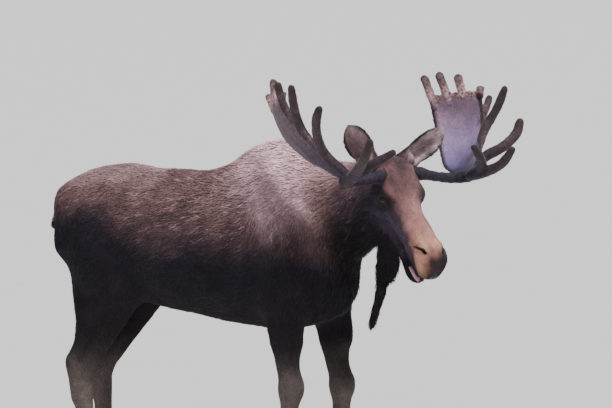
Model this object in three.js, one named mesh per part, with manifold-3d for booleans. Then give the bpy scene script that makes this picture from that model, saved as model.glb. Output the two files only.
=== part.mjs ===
// Bull moose in summer coat with velvet antlers, standing, head turned to its right.
// Life size. Millimetres, +Z up, +X forward along the trunk, +Y to the animal's left.
// The body is described once, as a smooth field: lofted tables for the trunk, head and
// jaw, tapered oval limbs and a few muscle masses, blended together. Each sub-part is a
// closed skin laid on that field round its own centre line, and thin cuts part them.
import * as THREE from 'three';
import { mergeVertices } from 'three/addons/utils/BufferGeometryUtils.js';
import Module from 'manifold-3d';

// ---------------------------------------------------------------- driving dimensions
const CM = 10;                 // the tables below are in centimetres
const GAP = 0.045;             // cut between neighbouring pieces, cm
const HEAD = { poll: [119.7, -9.7, 177.9], yaw: 32, pitch: 43, roll: 1, scale: 0.93 };
// trunk stations: x, top z, bottom z, half width, z of widest, roundness above, below
const TRUNK = [
  [-86, 153, 124, 14, 140, 2.2, 2.2], [-75, 163.5, 113, 21.5, 140, 2.2, 2.2],
  [-60, 170.5, 106, 27, 138, 2.2, 2.2], [-45, 172, 102, 29, 136, 2.1, 2.2],
  [-25, 169.5, 98, 32, 131, 2.0, 2.2], [0, 167.5, 94, 34, 126, 2.0, 2.2],
  [18, 171.5, 91, 34, 124, 1.9, 2.2], [33, 180.5, 89, 32, 124, 1.75, 2.2],
  [47, 185, 88, 30, 124, 1.65, 2.2], [60, 182, 89, 28, 124, 1.65, 2.2],
  [74, 173, 95, 24, 126, 1.8, 2.1], [91.5, 162, 108, 15, 132, 2.0, 2.0]];
const TRUNK_CAPS = [15, 24];
// head stations, in head axes: a along the face, top b, bottom b, half width, b of widest, roundness
const HEADL = [
  [-8, -7, -22, 7, -13, 2.2, 2.2], [0, -1.5, -27, 9.2, -12, 2.4, 2.2], [7, -0.2, -29.5, 10.6, -10, 2.5, 2.2],
  [14, -1.2, -30, 11.0, -10, 2.5, 2.2], [20, -3.0, -29, 10.6, -11, 2.4, 2.2], [27, -4.6, -27.5, 9.0, -14, 2.2, 2.3],
  [36, -5.6, -26, 7.6, -15, 2.2, 2.4], [46, -4.8, -25, 7.4, -15, 2.3, 2.6], [55, -5.2, -25, 7.3, -14.5, 2.4, 2.8],
  [62, -7.4, -25, 7.2, -15.5, 2.4, 2.8], [67.5, -10.7, -24.5, 6.6, -16.5, 2.4, 2.6], [72.8, -15.2, -21.8, 4.6, -18, 2.3, 2.4]];
const HEAD_CAPS = [6, 6];
const JAWL = [
  [6, -19, -35, 5.5, -26, 2.2, 2.2], [18, -20, -36, 6.4, -27, 2.2, 2.2], [32, -22, -34.5, 5.8, -28, 2.2, 2.2],
  [46, -25, -34, 5.0, -29.5, 2.2, 2.2], [56, -27, -36, 4.8, -31.5, 2.2, 2.2], [65, -26.5, -34, 4.0, -30, 2.2, 2.2]];
const JAW_CAPS = [8, 6];
// leg joints: hip or shoulder, stifle or elbow, hock or knee, fetlock, pastern (x, |y|, z)
const LEGS = {
  front_right: { y: -1, fore: true, j: [[64, 20, 140], [59.3, 21, 102], [63.3, 18.5, 58], [60, 18, 24], [64, 18, 9]] },
  front_left: { y: 1, fore: true, j: [[66, 20, 140], [62.1, 21, 102], [72.1, 18.5, 58], [72, 18, 24], [76, 18, 9]] },
  hind_right: { y: -1, fore: false, j: [[-58, 17, 134], [-37, 20, 107], [-63, 18, 64], [-60, 17, 24], [-56, 17, 9]] },
  hind_left: { y: 1, fore: false, j: [[-61, 17, 134], [-45, 20, 108], [-73, 18, 64], [-71, 17, 24], [-67, 17, 9]] } };
const FORE_R = [[17, 10], [9.5, 8], [5.2, 4.8], [4.0, 3.7], [4.2, 4.2]];   // half depth, half width at each joint
const HIND_R = [[19, 12], [13, 9.5], [6.0, 4.6], [4.3, 3.8], [4.3, 4.2]];
// ears: base, tip and broad direction in head axes, sideways shift of the leaf
const EAR = {
  left: { B: [-5.8, -9.2, 11], T: [-9.7, 14.5, 29.5], W: [3.4, -3.7, 10.7], shift: 2.0, hand: 1 },
  right: { B: [-5.8, -9.2, -11], T: [-10.5, 13.5, -29], W: [1.5, -10.4, -9.1], shift: 0.5, hand: -1 } };
const EAR_W = [[0, 3.4], [0.15, 5.2], [0.35, 7.0], [0.55, 7.4], [0.75, 6.4], [0.9, 4.4], [0.97, 2.6], [1.0, 0.9]];
const EAR_CUP = [[0, 7.0], [0.2, 6.0], [0.5, 4.2], [0.8, 2.2], [1.0, 0.8]];
const EAR_T = [[0, 1.3], [0.3, 0.75], [1.0, 0.45]];
const EYE = { a: 18.9, b: -12.9, l: 10.6, r: 2.45 };
// antlers in head axes, l is the distance from the middle plane
const PALM = {
  left: {
    rear: [[8, -10, 38.7], [-3, -17, 40.8], [-12.6, -22.5, 43], [-24, -24.3, 46], [-34, -24, 48.4], [-47, -20.5, 49.6], [-58, -10.5, 47.2]],
    front: [[22.6, 9.5, 37], [14, 9.5, 42.5], [5, 8.2, 47.5], [-7, 6.4, 53.5], [-20, 7.2, 60], [-29, 11, 61.3], [-35.5, 15.5, 60.3]], cup: 4.0 },
  right: {
    rear: [[8, -4, 38.6], [-3, -9, 40.6], [-12.6, -14, 42.8], [-24, -17, 45.8], [-34, -18, 48.3], [-47, -16.3, 49.5], [-58, -16, 47.8]],
    front: [[22.6, 7, 37], [14, 7.3, 42.5], [5, 8.2, 47.5], [-7, 10, 53.5], [-20, 12.5, 60], [-29, 14.8, 61.3], [-35.5, 14.5, 60.3]], cup: 1.8 } };
const PALM_T = [1.9, 1.1];      // half thickness at the beam and at the points
const BEAM = {
  left: [[3, -7, 6], [9.5, -3.6, 10.8], [11.5, -4.8, 22], [12, -5.8, 31], [16, -1, 37.5], [21, 7, 38]],
  right: [[3, -7, 6], [9.5, -4.6, 10.8], [11.5, -6, 22], [12, -5.5, 31], [16, -1, 37.5], [21, 6, 38]] };
const BEAM_R = [3.6, 3.3, 2.7, 2.9, 3.4, 3.2];
const BROW = {
  left: { inner: [[19, 3, 37.5], [25, 15, 36.5], [27.5, 25, 31.5], [28, 34.7, 23.1]], outer: [[19, 3, 37.5], [26.5, 12.5, 38.5], [32.5, 25, 42.5], [32.8, 37.8, 45.2]] },
  right: { inner: [[19, 2, 37.5], [25, 14, 36.5], [27.5, 24, 31.5], [28, 32.8, 23.1]], outer: [[19, 2, 37.5], [26, 16, 40], [32, 32, 43.5], [32.8, 46.6, 45]] } };
const BROW_R = { inner: [3.3, 2.8, 2.2, 1.5], outer: [3.2, 2.8, 2.4, 1.7] };
// palm points: place on the palm (0..1 along, -1 rear .. 1 front), then free points to the tip
const POINTS = {
  left: {
    C: { from: [0.04, 0.85], via: [[12.5, 10, 46], [13, 18, 54], [10, 25, 61]], tip: [4.6, 31.3, 63.9], r: [2.6, 2.8, 2.6, 2.4, 1.8] },
    D: { from: [0.42, 0.8], via: [[-12, 7.5, 57.5], [-17, 17, 63]], tip: [-22.9, 28.9, 67], r: [2.2, 2.5, 2.2, 1.6] },
    E: { from: [0.68, 0.85], via: [[-27, 8.5, 64]], tip: [-34, 10.4, 68.5], r: [1.8, 1.9, 1.4] },
    F: { from: [0.9, 0.92], via: [], tip: [-35.5, 17, 60.8], r: [1.5, 1.3] },
    G: { from: [0.93, 0.15], via: [], tip: [-54.1, 8.1, 56.9], r: [1.7, 1.6] },
    H: { from: [0.92, -0.4], via: [], tip: [-62.6, 1.7, 50.8], r: [1.7, 1.5] },
    I: { from: [0.92, -0.88], via: [], tip: [-66.8, -4.6, 45.4], r: [1.7, 1.4] } },
  right: {
    C: { from: [0.08, 0.85], via: [[6.5, 10, 49.5], [4.5, 21, 57], [3.5, 33, 61.5]], tip: [4.6, 44.1, 63.6], r: [2.6, 2.7, 2.4, 2.2, 1.7] },
    D: { from: [0.42, 0.8], via: [[-12, 11, 57], [-17, 22, 63]], tip: [-22.9, 33.9, 66.9], r: [2.2, 2.4, 2.2, 1.6] },
    E: { from: [0.64, 0.85], via: [[-27, 15, 63.5]], tip: [-34, 25.4, 68.1], r: [2.0, 2.1, 1.6] },
    F: { from: [0.9, 0.92], via: [], tip: [-35.5, 16.5, 60.5], r: [1.5, 1.2] },
    G: { from: [0.93, 0.15], via: [], tip: [-54.1, 7.8, 56.9], r: [1.7, 1.6] },
    H: { from: [0.92, -0.4], via: [], tip: [-62.6, -0.6, 50.9], r: [1.7, 1.5] },
    I: { from: [0.92, -0.88], via: [], tip: [-66.4, -16.6, 47.1], r: [1.7, 1.4] } } };
const HOOF = { length: 13.2, width: 5.4, height: 9.2, split: 0.3 };        // one claw; split is the gap between the two
const DEWCLAW = { up: 13.2, back: 2.7, out: 2.7, r: 1.6, length: 5.0 };
// planes that part the body: a point on the cut and the way it faces
const CUT_NECK = { p: [70, 0, 176], n: [0.887, 0, 0.461] };              // trunk | neck
const CUT_HEAD = { p: [-1.5, 0, 0], n: [1, 0.16, 0] };                   // neck | head, in head axes
const CUT_JAW = { p: [40, -26.1, 0], n: [0.0, -1, 0] };                  // head | lower jaw, in head axes
const TONGUE = { a: 60.5, b: -26.6, l: -4.1, r: [4.6, 1.3, 2.3] };

// ---------------------------------------------------------------- small vector kit
const { sqrt, abs, min, max, sin, cos, PI, pow, floor } = Math;
const dot = (a, b) => a[0] * b[0] + a[1] * b[1] + a[2] * b[2];
const add = (a, b, k = 1) => [a[0] + b[0] * k, a[1] + b[1] * k, a[2] + b[2] * k];
const sub = (a, b) => [a[0] - b[0], a[1] - b[1], a[2] - b[2]];
const mul = (a, k) => [a[0] * k, a[1] * k, a[2] * k];
const cross = (a, b) => [a[1] * b[2] - a[2] * b[1], a[2] * b[0] - a[0] * b[2], a[0] * b[1] - a[1] * b[0]];
const len = (a) => sqrt(dot(a, a));
const unit = (a) => mul(a, 1 / len(a));
const mix = (a, b, t) => a + (b - a) * t;
const clamp = (v, a, b) => min(max(v, a), b);
const interp = (x, t) => {
  if (x <= t[0][0]) return t[0][1];
  for (let i = 1; i < t.length; i++) if (x <= t[i][0]) return mix(t[i - 1][1], t[i][1], (x - t[i - 1][0]) / (t[i][0] - t[i - 1][0]));
  return t[t.length - 1][1];
};
const smin = (a, b, k) => { const h = max(k - abs(a - b), 0) / k; return min(a, b) - h * h * k * 0.25; };
const smax = (a, b, k) => -smin(-a, -b, k);

// smooth table: monotone cubic through the stations, sampled densely
function table(rows, n = 400) {
  const x = rows.map((r) => r[0]), m = rows.length, out = [];
  const slopes = rows[0].map((_, c) => {
    const d = []; for (let i = 0; i < m - 1; i++) d.push((rows[i + 1][c] - rows[i][c]) / (x[i + 1] - x[i]));
    const s = new Array(m).fill(0); s[0] = d[0]; s[m - 1] = d[m - 2];
    for (let i = 1; i < m - 1; i++) if (d[i - 1] * d[i] > 0) {
      const h0 = x[i] - x[i - 1], h1 = x[i + 1] - x[i], w1 = 2 * h1 + h0, w2 = h1 + 2 * h0;
      s[i] = (w1 + w2) / (w1 / d[i - 1] + w2 / d[i]);
    }
    return s;
  });
  for (let q = 0; q < n; q++) {
    const u = mix(x[0], x[m - 1], q / (n - 1)); let k = 0; while (k < m - 2 && u >= x[k + 1]) k++;
    const h = x[k + 1] - x[k], t = (u - x[k]) / h, t2 = t * t, t3 = t2 * t;
    out.push(rows[0].map((_, c) => c === 0 ? u : (2 * t3 - 3 * t2 + 1) * rows[k][c] + (t3 - 2 * t2 + t) * h * slopes[c][k] + (3 * t2 - 2 * t3) * rows[k + 1][c] + (t3 - t2) * h * slopes[c][k + 1]));
  }
  return out;
}
// distance to a loft of super-ellipses with rounded ends: t along, v up, w across
function loft(tab, caps, t, v, w) {
  const x0 = tab[0][0], x1 = tab[tab.length - 1][0], tc = clamp(t, x0, x1);
  const f = (tc - x0) / (x1 - x0) * (tab.length - 1), i = min(floor(f), tab.length - 2), fr = f - i;
  const g = (c) => tab[i][c] * (1 - fr) + tab[i + 1][c] * fr;
  const s0 = clamp(1 - (tc - x0) / caps[0], 0, 1), s1 = clamp(1 - (x1 - tc) / caps[1], 0, 1);
  const s = sqrt(max(1 - pow(s0, 2.3), 0.0004)) * sqrt(max(1 - pow(s1, 2.3), 0.0004));
  const dv = v - g(4), up = dv > 0, h = (up ? g(1) - g(4) : g(4) - g(2)) * s, n = up ? g(5) : g(6), hw = g(3) * s;
  const k = pow(pow(abs(dv / h), n) + pow(abs(w / hw), n), 1 / n) + 1e-9, r = sqrt(dv * dv + w * w);
  const d = k < 0.05 ? -min(h, hw) * (1 - k) : r * (1 - 1 / k), ax = abs(t - tc);
  return ax > 0 ? sqrt(max(d, 0) ** 2 + ax * ax) : d;
}
// tapered oval capsule: ra, rb across in the up plane, wa, wb sideways
function ecap(p, A, B, ra, rb, wa, wb, up = [0, 0, 1], cap = 1) {
  const D = sub(B, A), L = len(D), d = mul(D, 1 / L), s = unit(cross(up, d)), n = cross(d, s), q = sub(p, A);
  const h = clamp(dot(q, d) / L, 0, 1), qs = dot(q, s), qn = dot(q, n), qt = dot(q, d) - h * L;
  const Rn = mix(ra, rb, h), Rs = mix(wa, wb, h), Rt = 0.5 * (Rn + Rs) * cap;
  const k0 = sqrt((qs / Rs) ** 2 + (qn / Rn) ** 2 + (qt / Rt) ** 2), k1 = sqrt((qs / Rs ** 2) ** 2 + (qn / Rn ** 2) ** 2 + (qt / Rt ** 2) ** 2) + 1e-9;
  return k0 < 0.02 ? -min(Rs, Rn) : k0 * (k0 - 1) / k1;
}
// ellipsoid: r along d, sideways, and across
function ell(p, C, r, d = [1, 0, 0], up = [0, 0, 1]) {
  const D = unit(d), s = unit(cross(up, D)), n = cross(D, s), q = sub(p, C), a = dot(q, D), b = dot(q, s), c = dot(q, n);
  const k0 = sqrt((a / r[0]) ** 2 + (b / r[1]) ** 2 + (c / r[2]) ** 2), k1 = sqrt((a / r[0] ** 2) ** 2 + (b / r[1] ** 2) ** 2 + (c / r[2] ** 2) ** 2) + 1e-9;
  return k0 < 0.02 ? -min(...r) : k0 * (k0 - 1) / k1;
}

// ---------------------------------------------------------------- head axes
const rad = (d) => d * PI / 180;
const [ye, pt, ro] = [rad(HEAD.yaw), rad(HEAD.pitch), rad(HEAD.roll)];
const fh = [cos(ye), -sin(ye), 0], hl0 = [sin(ye), cos(ye), 0], UP = [0, 0, 1];
const HA = add(mul(fh, cos(pt)), UP, -sin(pt)), hb0 = add(mul(fh, sin(pt)), UP, cos(pt));
const HL = add(mul(hl0, cos(ro)), hb0, sin(ro)), HB = add(mul(hb0, cos(ro)), hl0, -sin(ro));
const h2w = (q) => add(add(add(HEAD.poll, HA, HEAD.scale * q[0]), HB, HEAD.scale * q[1]), HL, HEAD.scale * q[2]);
const w2h = (p) => { const q = mul(sub(p, HEAD.poll), 1 / HEAD.scale); return [dot(q, HA), dot(q, HB), dot(q, HL)]; };

// ---------------------------------------------------------------- the body as one field
const TT = table(TRUNK), HT = table(HEADL), JT = table(JAWL);
const FWD = [1, 0, 0.001];
function legField(p, L) {
  const sg = L.y, J = L.j.map(([x, y, z]) => [x, sg * y, z]), R = L.fore ? FORE_R : HIND_R;
  let d = null;
  for (let i = 0; i < 4; i++) {
    const c = ecap(p, J[i], J[i + 1], R[i][0], R[i + 1][0], R[i][1], R[i + 1][1], FWD, 0.8);
    d = d === null ? c : smin(d, c, 4);
  }
  const k = J[2];
  if (L.fore) {
    d = smin(d, ell(p, [k[0] + 0.7, k[1], k[2] + 1], [6.0, 4.9, 8.5]), 4);                       // knee
    d = smin(d, ell(p, [J[3][0] - 0.5, J[3][1], J[3][2] - 1], [4.8, 4.5, 5.5]), 4);              // fetlock
    d = smin(d, ecap(p, [J[0][0] - 3, sg * 18, 122], [k[0] - 1.5, k[1], 84], 14, 7, 8, 5.6, FWD), 7); // forearm
  } else {
    d = smin(d, ecap(p, [k[0] - 5, k[1], k[2] + 5], [k[0] - 2, k[1], k[2] - 14], 3.4, 3.0, 3.2, 3.0, FWD), 5);      // point of hock
    d = smin(d, ecap(p, [k[0] - 4.5, k[1], k[2] + 4], [J[1][0] - 14, J[1][1], J[1][2] + 2], 2.6, 7, 2.4, 4, FWD), 5); // tendon
    d = smin(d, ell(p, [J[3][0] - 0.5, J[3][1], J[3][2] - 1], [5.0, 4.6, 5.5]), 4);              // fetlock
    d = smin(d, ecap(p, [J[0][0] - 6, sg * 16, 128], [0.45 * J[1][0] + 0.55 * k[0] - 4, k[1], 88], 14, 7, 10, 5.6, FWD), 8); // hamstring
  }
  return d;
}
function trunkField(p) {
  const q = [p[0], abs(p[1]), p[2]];
  let d = loft(TT, TRUNK_CAPS, p[0], p[2], p[1]);
  d = smin(d, ell(q, [61, 15, 136], [32, 9.5, 19], [20, -1, -50], [0, 1, 0]), 16);       // shoulder blade
  d = smin(d, ell(q, [-58, 12.5, 134], [30, 12, 22], [8, 3, -50], [0, 1, 0]), 16);       // haunch
  return smin(d, ell(q, [74.5, 0, 113], [16, 14, 18]), 10);                              // breast
}
function neckField(p) {
  const d = ecap(p, [66, 0, 148], [90, -2, 150.5], 31, 22.5, 21, 16.5, UP, 0.7);
  return smin(d, ecap(p, [90, -2, 150.5], [110, -6.5, 155], 22.5, 21, 16.5, 13.5, UP, 0.7), 8);
}
const SIDE = [0, 1, 0];
function headField(p) {
  const q = w2h(p), m = [q[0], q[1], abs(q[2])];
  let d = loft(HT, HEAD_CAPS, q[0], q[1], q[2]);
  d = smin(d, ell(m, [20, -8.5, 9], [6, 3.4, 3.6], [1, -0.1, 0], SIDE), 3.5);            // brow over the eye
  d = smin(d, ell(m, [15, -20, 6.8], [12, 4.6, 9], [1, -0.2, 0], SIDE), 5);              // cheek
  d = smin(d, ecap(m, [6, -5, 4], [8.5, -5.5, 10.2], 4.2, 3.8, 4.6, 4.2, SIDE), 3);      // antler base
  d = smin(d, ell(m, [63, -13, 5.8], [7.5, 3.0, 5.5], [1, -0.2, 0], SIDE), 4);           // nostril wing
  return d * HEAD.scale;
}
function jawField(p) { const q = w2h(p); return loft(JT, JAW_CAPS, q[0], q[1], q[2]) * HEAD.scale; }
function bellField(p) {
  let d = ell(p, [115.3, -9.2, 126.5], [8.8, 3.4, 14], [0.94, -0.34, 0]);
  d = smin(d, ecap(p, [112, -8.3, 120], [109.8, -7.8, 107], 5.2, 2.5, 3.0, 2.3, [1, 0, 0.01]), 4);
  return smin(d, ecap(p, [109.8, -7.8, 107], [104.6, -7, 91.5], 2.4, 2.3, 2.3, 2.0, [1, 0, 0.01]), 3);
}
const tailField = (p) => ecap(p, [-84, 0, 154], [-90.5, 0, 138], 3.6, 2.6, 4.2, 3.0, FWD, 0.9);
function bodyField(p) {
  let d = trunkField(p);
  for (const k in LEGS) if (abs(p[0] - LEGS[k].j[1][0]) < 60) d = smin(d, legField(p, LEGS[k]), 7);
  if (p[0] > 20) {
    d = smin(d, neckField(p), 12);
    d = smin(d, smin(headField(p), jawField(p), 2), 5);
    d = smin(d, bellField(p), 4);
  } else d = smin(d, tailField(p), 3);
  return d;
}

// ---------------------------------------------------------------- closed skins
// Each loft is a stack of rings round a centre line; the ends close like a cap. A ring's
// points lie where the ray from the centre leaves the solid. grow moves the skin outwards.
function castRay(f, c, dir, grow, far) {
  let r = 0.02, step = 0.6, prev = 0;
  while (r < far && f(add(c, dir, r)) < 0) { prev = r; r += step; }
  if (r >= far) return far;
  let a = prev, b = r;
  for (let i = 0; i < 18; i++) { const m = (a + b) / 2; if (f(add(c, dir, m)) < 0) a = m; else b = m; }
  return max((a + b) / 2, 0.15) + grow;
}
function closedLoft(rows, seg) {   // rows: arrays of seg points, first and last are single apex points
  const pos = [], idx = [];
  const N = rows.length - 2;
  pos.push(...rows[0]);
  for (let i = 1; i <= N; i++) for (const p of rows[i]) pos.push(...p);
  pos.push(...rows[N + 1]);
  const at = (i, j) => 1 + i * seg + (j % seg), last = 1 + N * seg;
  for (let j = 0; j < seg; j++) {
    idx.push(0, at(0, j + 1), at(0, j));
    for (let i = 0; i < N - 1; i++) idx.push(at(i, j), at(i, j + 1), at(i + 1, j + 1), at(i, j), at(i + 1, j + 1), at(i + 1, j));
    idx.push(last, at(N - 1, j), at(N - 1, j + 1));
  }
  const g = new THREE.BufferGeometry();
  g.setAttribute('position', new THREE.Float32BufferAttribute(pos.map((v) => v * CM), 3));
  g.setIndex(idx);
  return outward(g);
}
function signedVolume(g) {
  const p = g.attributes.position.array, ix = g.index.array; let v = 0;
  for (let i = 0; i < ix.length; i += 3) {
    const a = ix[i] * 3, b = ix[i + 1] * 3, c = ix[i + 2] * 3;
    v += p[a] * (p[b + 1] * p[c + 2] - p[b + 2] * p[c + 1]) - p[a + 1] * (p[b] * p[c + 2] - p[b + 2] * p[c]) + p[a + 2] * (p[b] * p[c + 1] - p[b + 1] * p[c]);
  }
  return v / 6;
}
function outward(g) {
  if (signedVolume(g) < 0) { const ix = Array.from(g.index.array); for (let i = 0; i < ix.length; i += 3) [ix[i], ix[i + 1]] = [ix[i + 1], ix[i]]; g.setIndex(ix); }
  return g;
}
// skin round a centre line C (points), frame axes u, v at each point; capN extra rings at each end
function skin(f, C, axes, seg, capN, grow = 0, far = 60, phase = 0) {
  const rows = [], N = C.length;
  const ring = (c, u, v, t, tilt) => {
    const r = [];
    for (let j = 0; j < seg; j++) {
      const th = phase + 2 * PI * j / seg, o = add(mul(u, cos(th)), v, sin(th));
      const d = tilt ? unit(add(mul(o, cos(tilt)), t, sin(tilt))) : o;
      r.push(add(c, d, castRay(f, c, d, grow, far)));
    }
    return r;
  };
  const ends = [unit(sub(C[0], C[1])), unit(sub(C[N - 1], C[N - 2]))];
  rows.push(add(C[0], ends[0], castRay(f, C[0], ends[0], grow, far)));
  for (let k = capN; k > 0; k--) rows.push(ring(C[0], ...axes(0), ends[0], PI / 2 * k / (capN + 1)));
  for (let i = 0; i < N; i++) rows.push(ring(C[i], ...axes(i)));
  for (let k = 1; k <= capN; k++) rows.push(ring(C[N - 1], ...axes(N - 1), ends[1], PI / 2 * k / (capN + 1)));
  rows.push(add(C[N - 1], ends[1], castRay(f, C[N - 1], ends[1], grow, far)));
  return closedLoft(rows, seg);
}
const line = (a, b, n) => Array.from({ length: n }, (_, i) => a.map((v, k) => mix(v, b[k], i / (n - 1))));
// tapered round bar through points, ends rounded
function bar(points, radii, n, seg, capN = 1, grow = 0) {
  const curve = new THREE.CatmullRomCurve3(points.map((p) => new THREE.Vector3(...h2w(p))), false, 'centripetal');
  const at = (t) => curve.getPoint(t), rAt = (t) => { const x = t * (radii.length - 1), i = min(floor(x), radii.length - 2); return mix(radii[i], radii[i + 1], x - i) * HEAD.scale + grow; };
  const C = [], T = [];
  for (let i = 0; i < n; i++) { const t = i / (n - 1); C.push(at(t).toArray()); T.push(curve.getTangent(t).toArray()); }
  C[n - 1] = add(C[n - 1], T[n - 1], -radii[radii.length - 1] * HEAD.scale);
  let u = unit(cross(T[0], [0.3, 0.5, 0.8])); const rows = [];
  const ring = (c, t, uu, r) => { const w = cross(t, uu); return Array.from({ length: seg }, (_, j) => add(add(c, uu, r * cos(2 * PI * j / seg)), w, r * sin(2 * PI * j / seg))); };
  rows.push(add(C[0], T[0], -rAt(0)));
  for (let k = capN; k > 0; k--) { const a = PI / 2 * k / (capN + 1); rows.push(ring(add(C[0], T[0], -rAt(0) * sin(a)), T[0], u, rAt(0) * cos(a))); }
  for (let i = 0; i < n; i++) { u = unit(add(u, T[i], -dot(u, T[i]))); rows.push(ring(C[i], T[i], u, rAt(i / (n - 1)))); }
  const e = n - 1, re = rAt(1);
  for (let k = 1; k <= capN; k++) { const a = PI / 2 * k / (capN + 1); rows.push(ring(add(C[e], T[e], re * sin(a)), T[e], u, re * cos(a))); }
  rows.push(add(C[e], T[e], re));
  return closedLoft(rows, seg);
}
// closed plate from two grids of points (front and back faces)
function plate(top, bot) {
  const nt = top.length, nw = top[0].length, o = nt * nw, pos = [], idx = [];
  for (const g of [top, bot]) for (const r of g) for (const p of r) pos.push(...mul(p, CM));
  const quad = (a, b, c, d) => idx.push(a, b, c, a, c, d);
  for (let i = 0; i < nt - 1; i++) for (let j = 0; j < nw - 1; j++) {
    const a = i * nw + j, b = a + 1, c = b + nw, d = a + nw;
    quad(a, b, c, d); quad(o + a, o + d, o + c, o + b);
  }
  for (let i = 0; i < nt - 1; i++) {
    const a = i * nw, b = (i + 1) * nw, e = a + nw - 1, f = b + nw - 1;
    quad(a, b, o + b, o + a); quad(f, e, o + e, o + f);
  }
  for (let j = 0; j < nw - 1; j++) {
    const a = j, b = j + 1, e = (nt - 1) * nw + j, f = e + 1;
    quad(b, a, o + a, o + b); quad(e, f, o + f, o + e);
  }
  const g = new THREE.BufferGeometry();
  g.setAttribute('position', new THREE.Float32BufferAttribute(pos, 3)); g.setIndex(idx);
  return outward(g);
}

// ---------------------------------------------------------------- solids, joins and cuts
const wasm = await Module(); wasm.setup();
function solid(geometry) {
  let g = geometry.clone();
  for (const k of Object.keys(g.attributes)) if (k !== 'position') g.deleteAttribute(k);
  g = outward(mergeVertices(g, 1e-3));
  const m = new wasm.Mesh({ numProp: 3, vertProperties: new Float32Array(g.attributes.position.array), triVerts: new Uint32Array(g.index.array) });
  m.merge();
  return new wasm.Manifold(m);
}
function largest(man) {
  const parts = man.decompose(); if (parts.length < 2) return man;
  return parts.sort((a, b) => b.volume() - a.volume())[0];
}
function geometryOf(man) {
  const m = man.getMesh(), g = new THREE.BufferGeometry(), pos = [];
  for (let i = 0; i < m.vertProperties.length; i += m.numProp) pos.push(m.vertProperties[i], m.vertProperties[i + 1], m.vertProperties[i + 2]);
  g.setAttribute('position', new THREE.Float32BufferAttribute(pos, 3)); g.setIndex(Array.from(m.triVerts));
  return g;
}
function beyond(p, n, gap) {     // everything past a plane, half a gap away from it
  const g = new THREE.BoxGeometry(6000, 6000, 6000); g.translate(0, 0, 3000 + gap / 2 * CM);
  g.applyQuaternion(new THREE.Quaternion().setFromUnitVectors(new THREE.Vector3(0, 0, 1), new THREE.Vector3(...unit(n))));
  g.translate(...mul(p, CM)); return solid(g);
}
function slab(z0, z1) {          // everything between two heights
  const g = new THREE.BoxGeometry(6000, 6000, (z1 - z0) * CM); g.translate(0, 0, (z0 + z1) / 2 * CM); return solid(g);
}
const withGap = (make) => [solid(make(0)), solid(make(GAP))];

// trunk and neck, parted by a plane
const FILLET = 1.9, REACH = 9;
const headN = sub(h2w(CUT_HEAD.n), h2w([0, 0, 0])), headP = h2w(CUT_HEAD.p);
const jawN = sub(h2w(CUT_JAW.n), h2w([0, 0, 0])), jawP = h2w(CUT_JAW.p);
const trunkPart = (p) => max(bodyField(p), trunkField(p) - mix(FILLET, REACH, clamp((p[0] - 55) / 12, 0, 1) * clamp((p[2] - 112) / 10, 0, 1)));
const trunkLine = Array.from({ length: 18 }, (_, i) => { const x = mix(-74, 79, i / 17); return [x, 0, mix(139, 133, i / 17) - 4 * sin(PI * i / 17)]; });
const trunkCut = (g) => solid(skin(trunkPart, trunkLine, () => [[0, 1, 0], UP], 22, 2, g)).subtract(beyond(CUT_NECK.p, CUT_NECK.n, -GAP + 2 * g));
const trunk = largest(trunkCut(0)), trunkPlus = solid(skin(trunkPart, trunkLine, () => [[0, 1, 0], UP], 22, 2, GAP));

// head, lower jaw, neck
const headPart = (p) => max(bodyField(p), headField(p) - 3.5);
const headLine = line([-3, -13.5, 0], [66.5, -16.8, 0], 16).map(h2w);
const headWhole = solid(skin(headPart, headLine, () => [HL, HB], 18, 2, 0, 40)).intersect(beyond(headP, headN, GAP)).subtract(beyond(jawP, jawN, -GAP));
const headPlus = solid(skin(headPart, headLine, () => [HL, HB], 18, 2, GAP, 40));
const jawPart = (p) => max(bodyField(p), jawField(p) - 3);
const jawLine = line([9, -28.5, 0], [60, -31.2, 0], 9).map(h2w);
const jawSkin = (g) => solid(skin(jawPart, jawLine, () => [HL, HB], 12, 1, g, 30));
const jaw = largest(jawSkin(0).intersect(beyond(jawP, jawN, GAP)).intersect(beyond(headP, headN, GAP))), jawPlus = jawSkin(GAP).intersect(beyond(headP, headN, -GAP));
const neckPart = (p) => max(bodyField(p), neckField(p) - mix(REACH, 3.5, clamp((p[0] - 88) / 12, 0, 1)));
const neckLine = [[74, 0, 148], [82, -0.8, 149.2], [89, -1.8, 150.4], [95, -2.9, 151.6], [101, -4.3, 153.2], [108, -6.2, 155]];
const neckAxes = (i) => { const t = unit(sub(neckLine[min(i + 1, 5)], neckLine[max(i - 1, 0)])); const s = unit(cross(UP, t)); return [s, cross(t, s)]; };
const neckWhole = solid(skin(neckPart, neckLine, neckAxes, 20, 2, 0, 60)), neckPlus = solid(skin(neckPart, neckLine, neckAxes, 20, 2, GAP, 60));
// the throat runs on under the jaw, so the head plane cuts only what lies above the jaw line
const neckTrim = (man) => largest(man.intersect(beyond(CUT_NECK.p, CUT_NECK.n, GAP)).subtract(beyond(headP, headN, -GAP).subtract(beyond(jawP, jawN, GAP))).subtract(jawPlus));
const neck = neckTrim(neckWhole);

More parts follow.
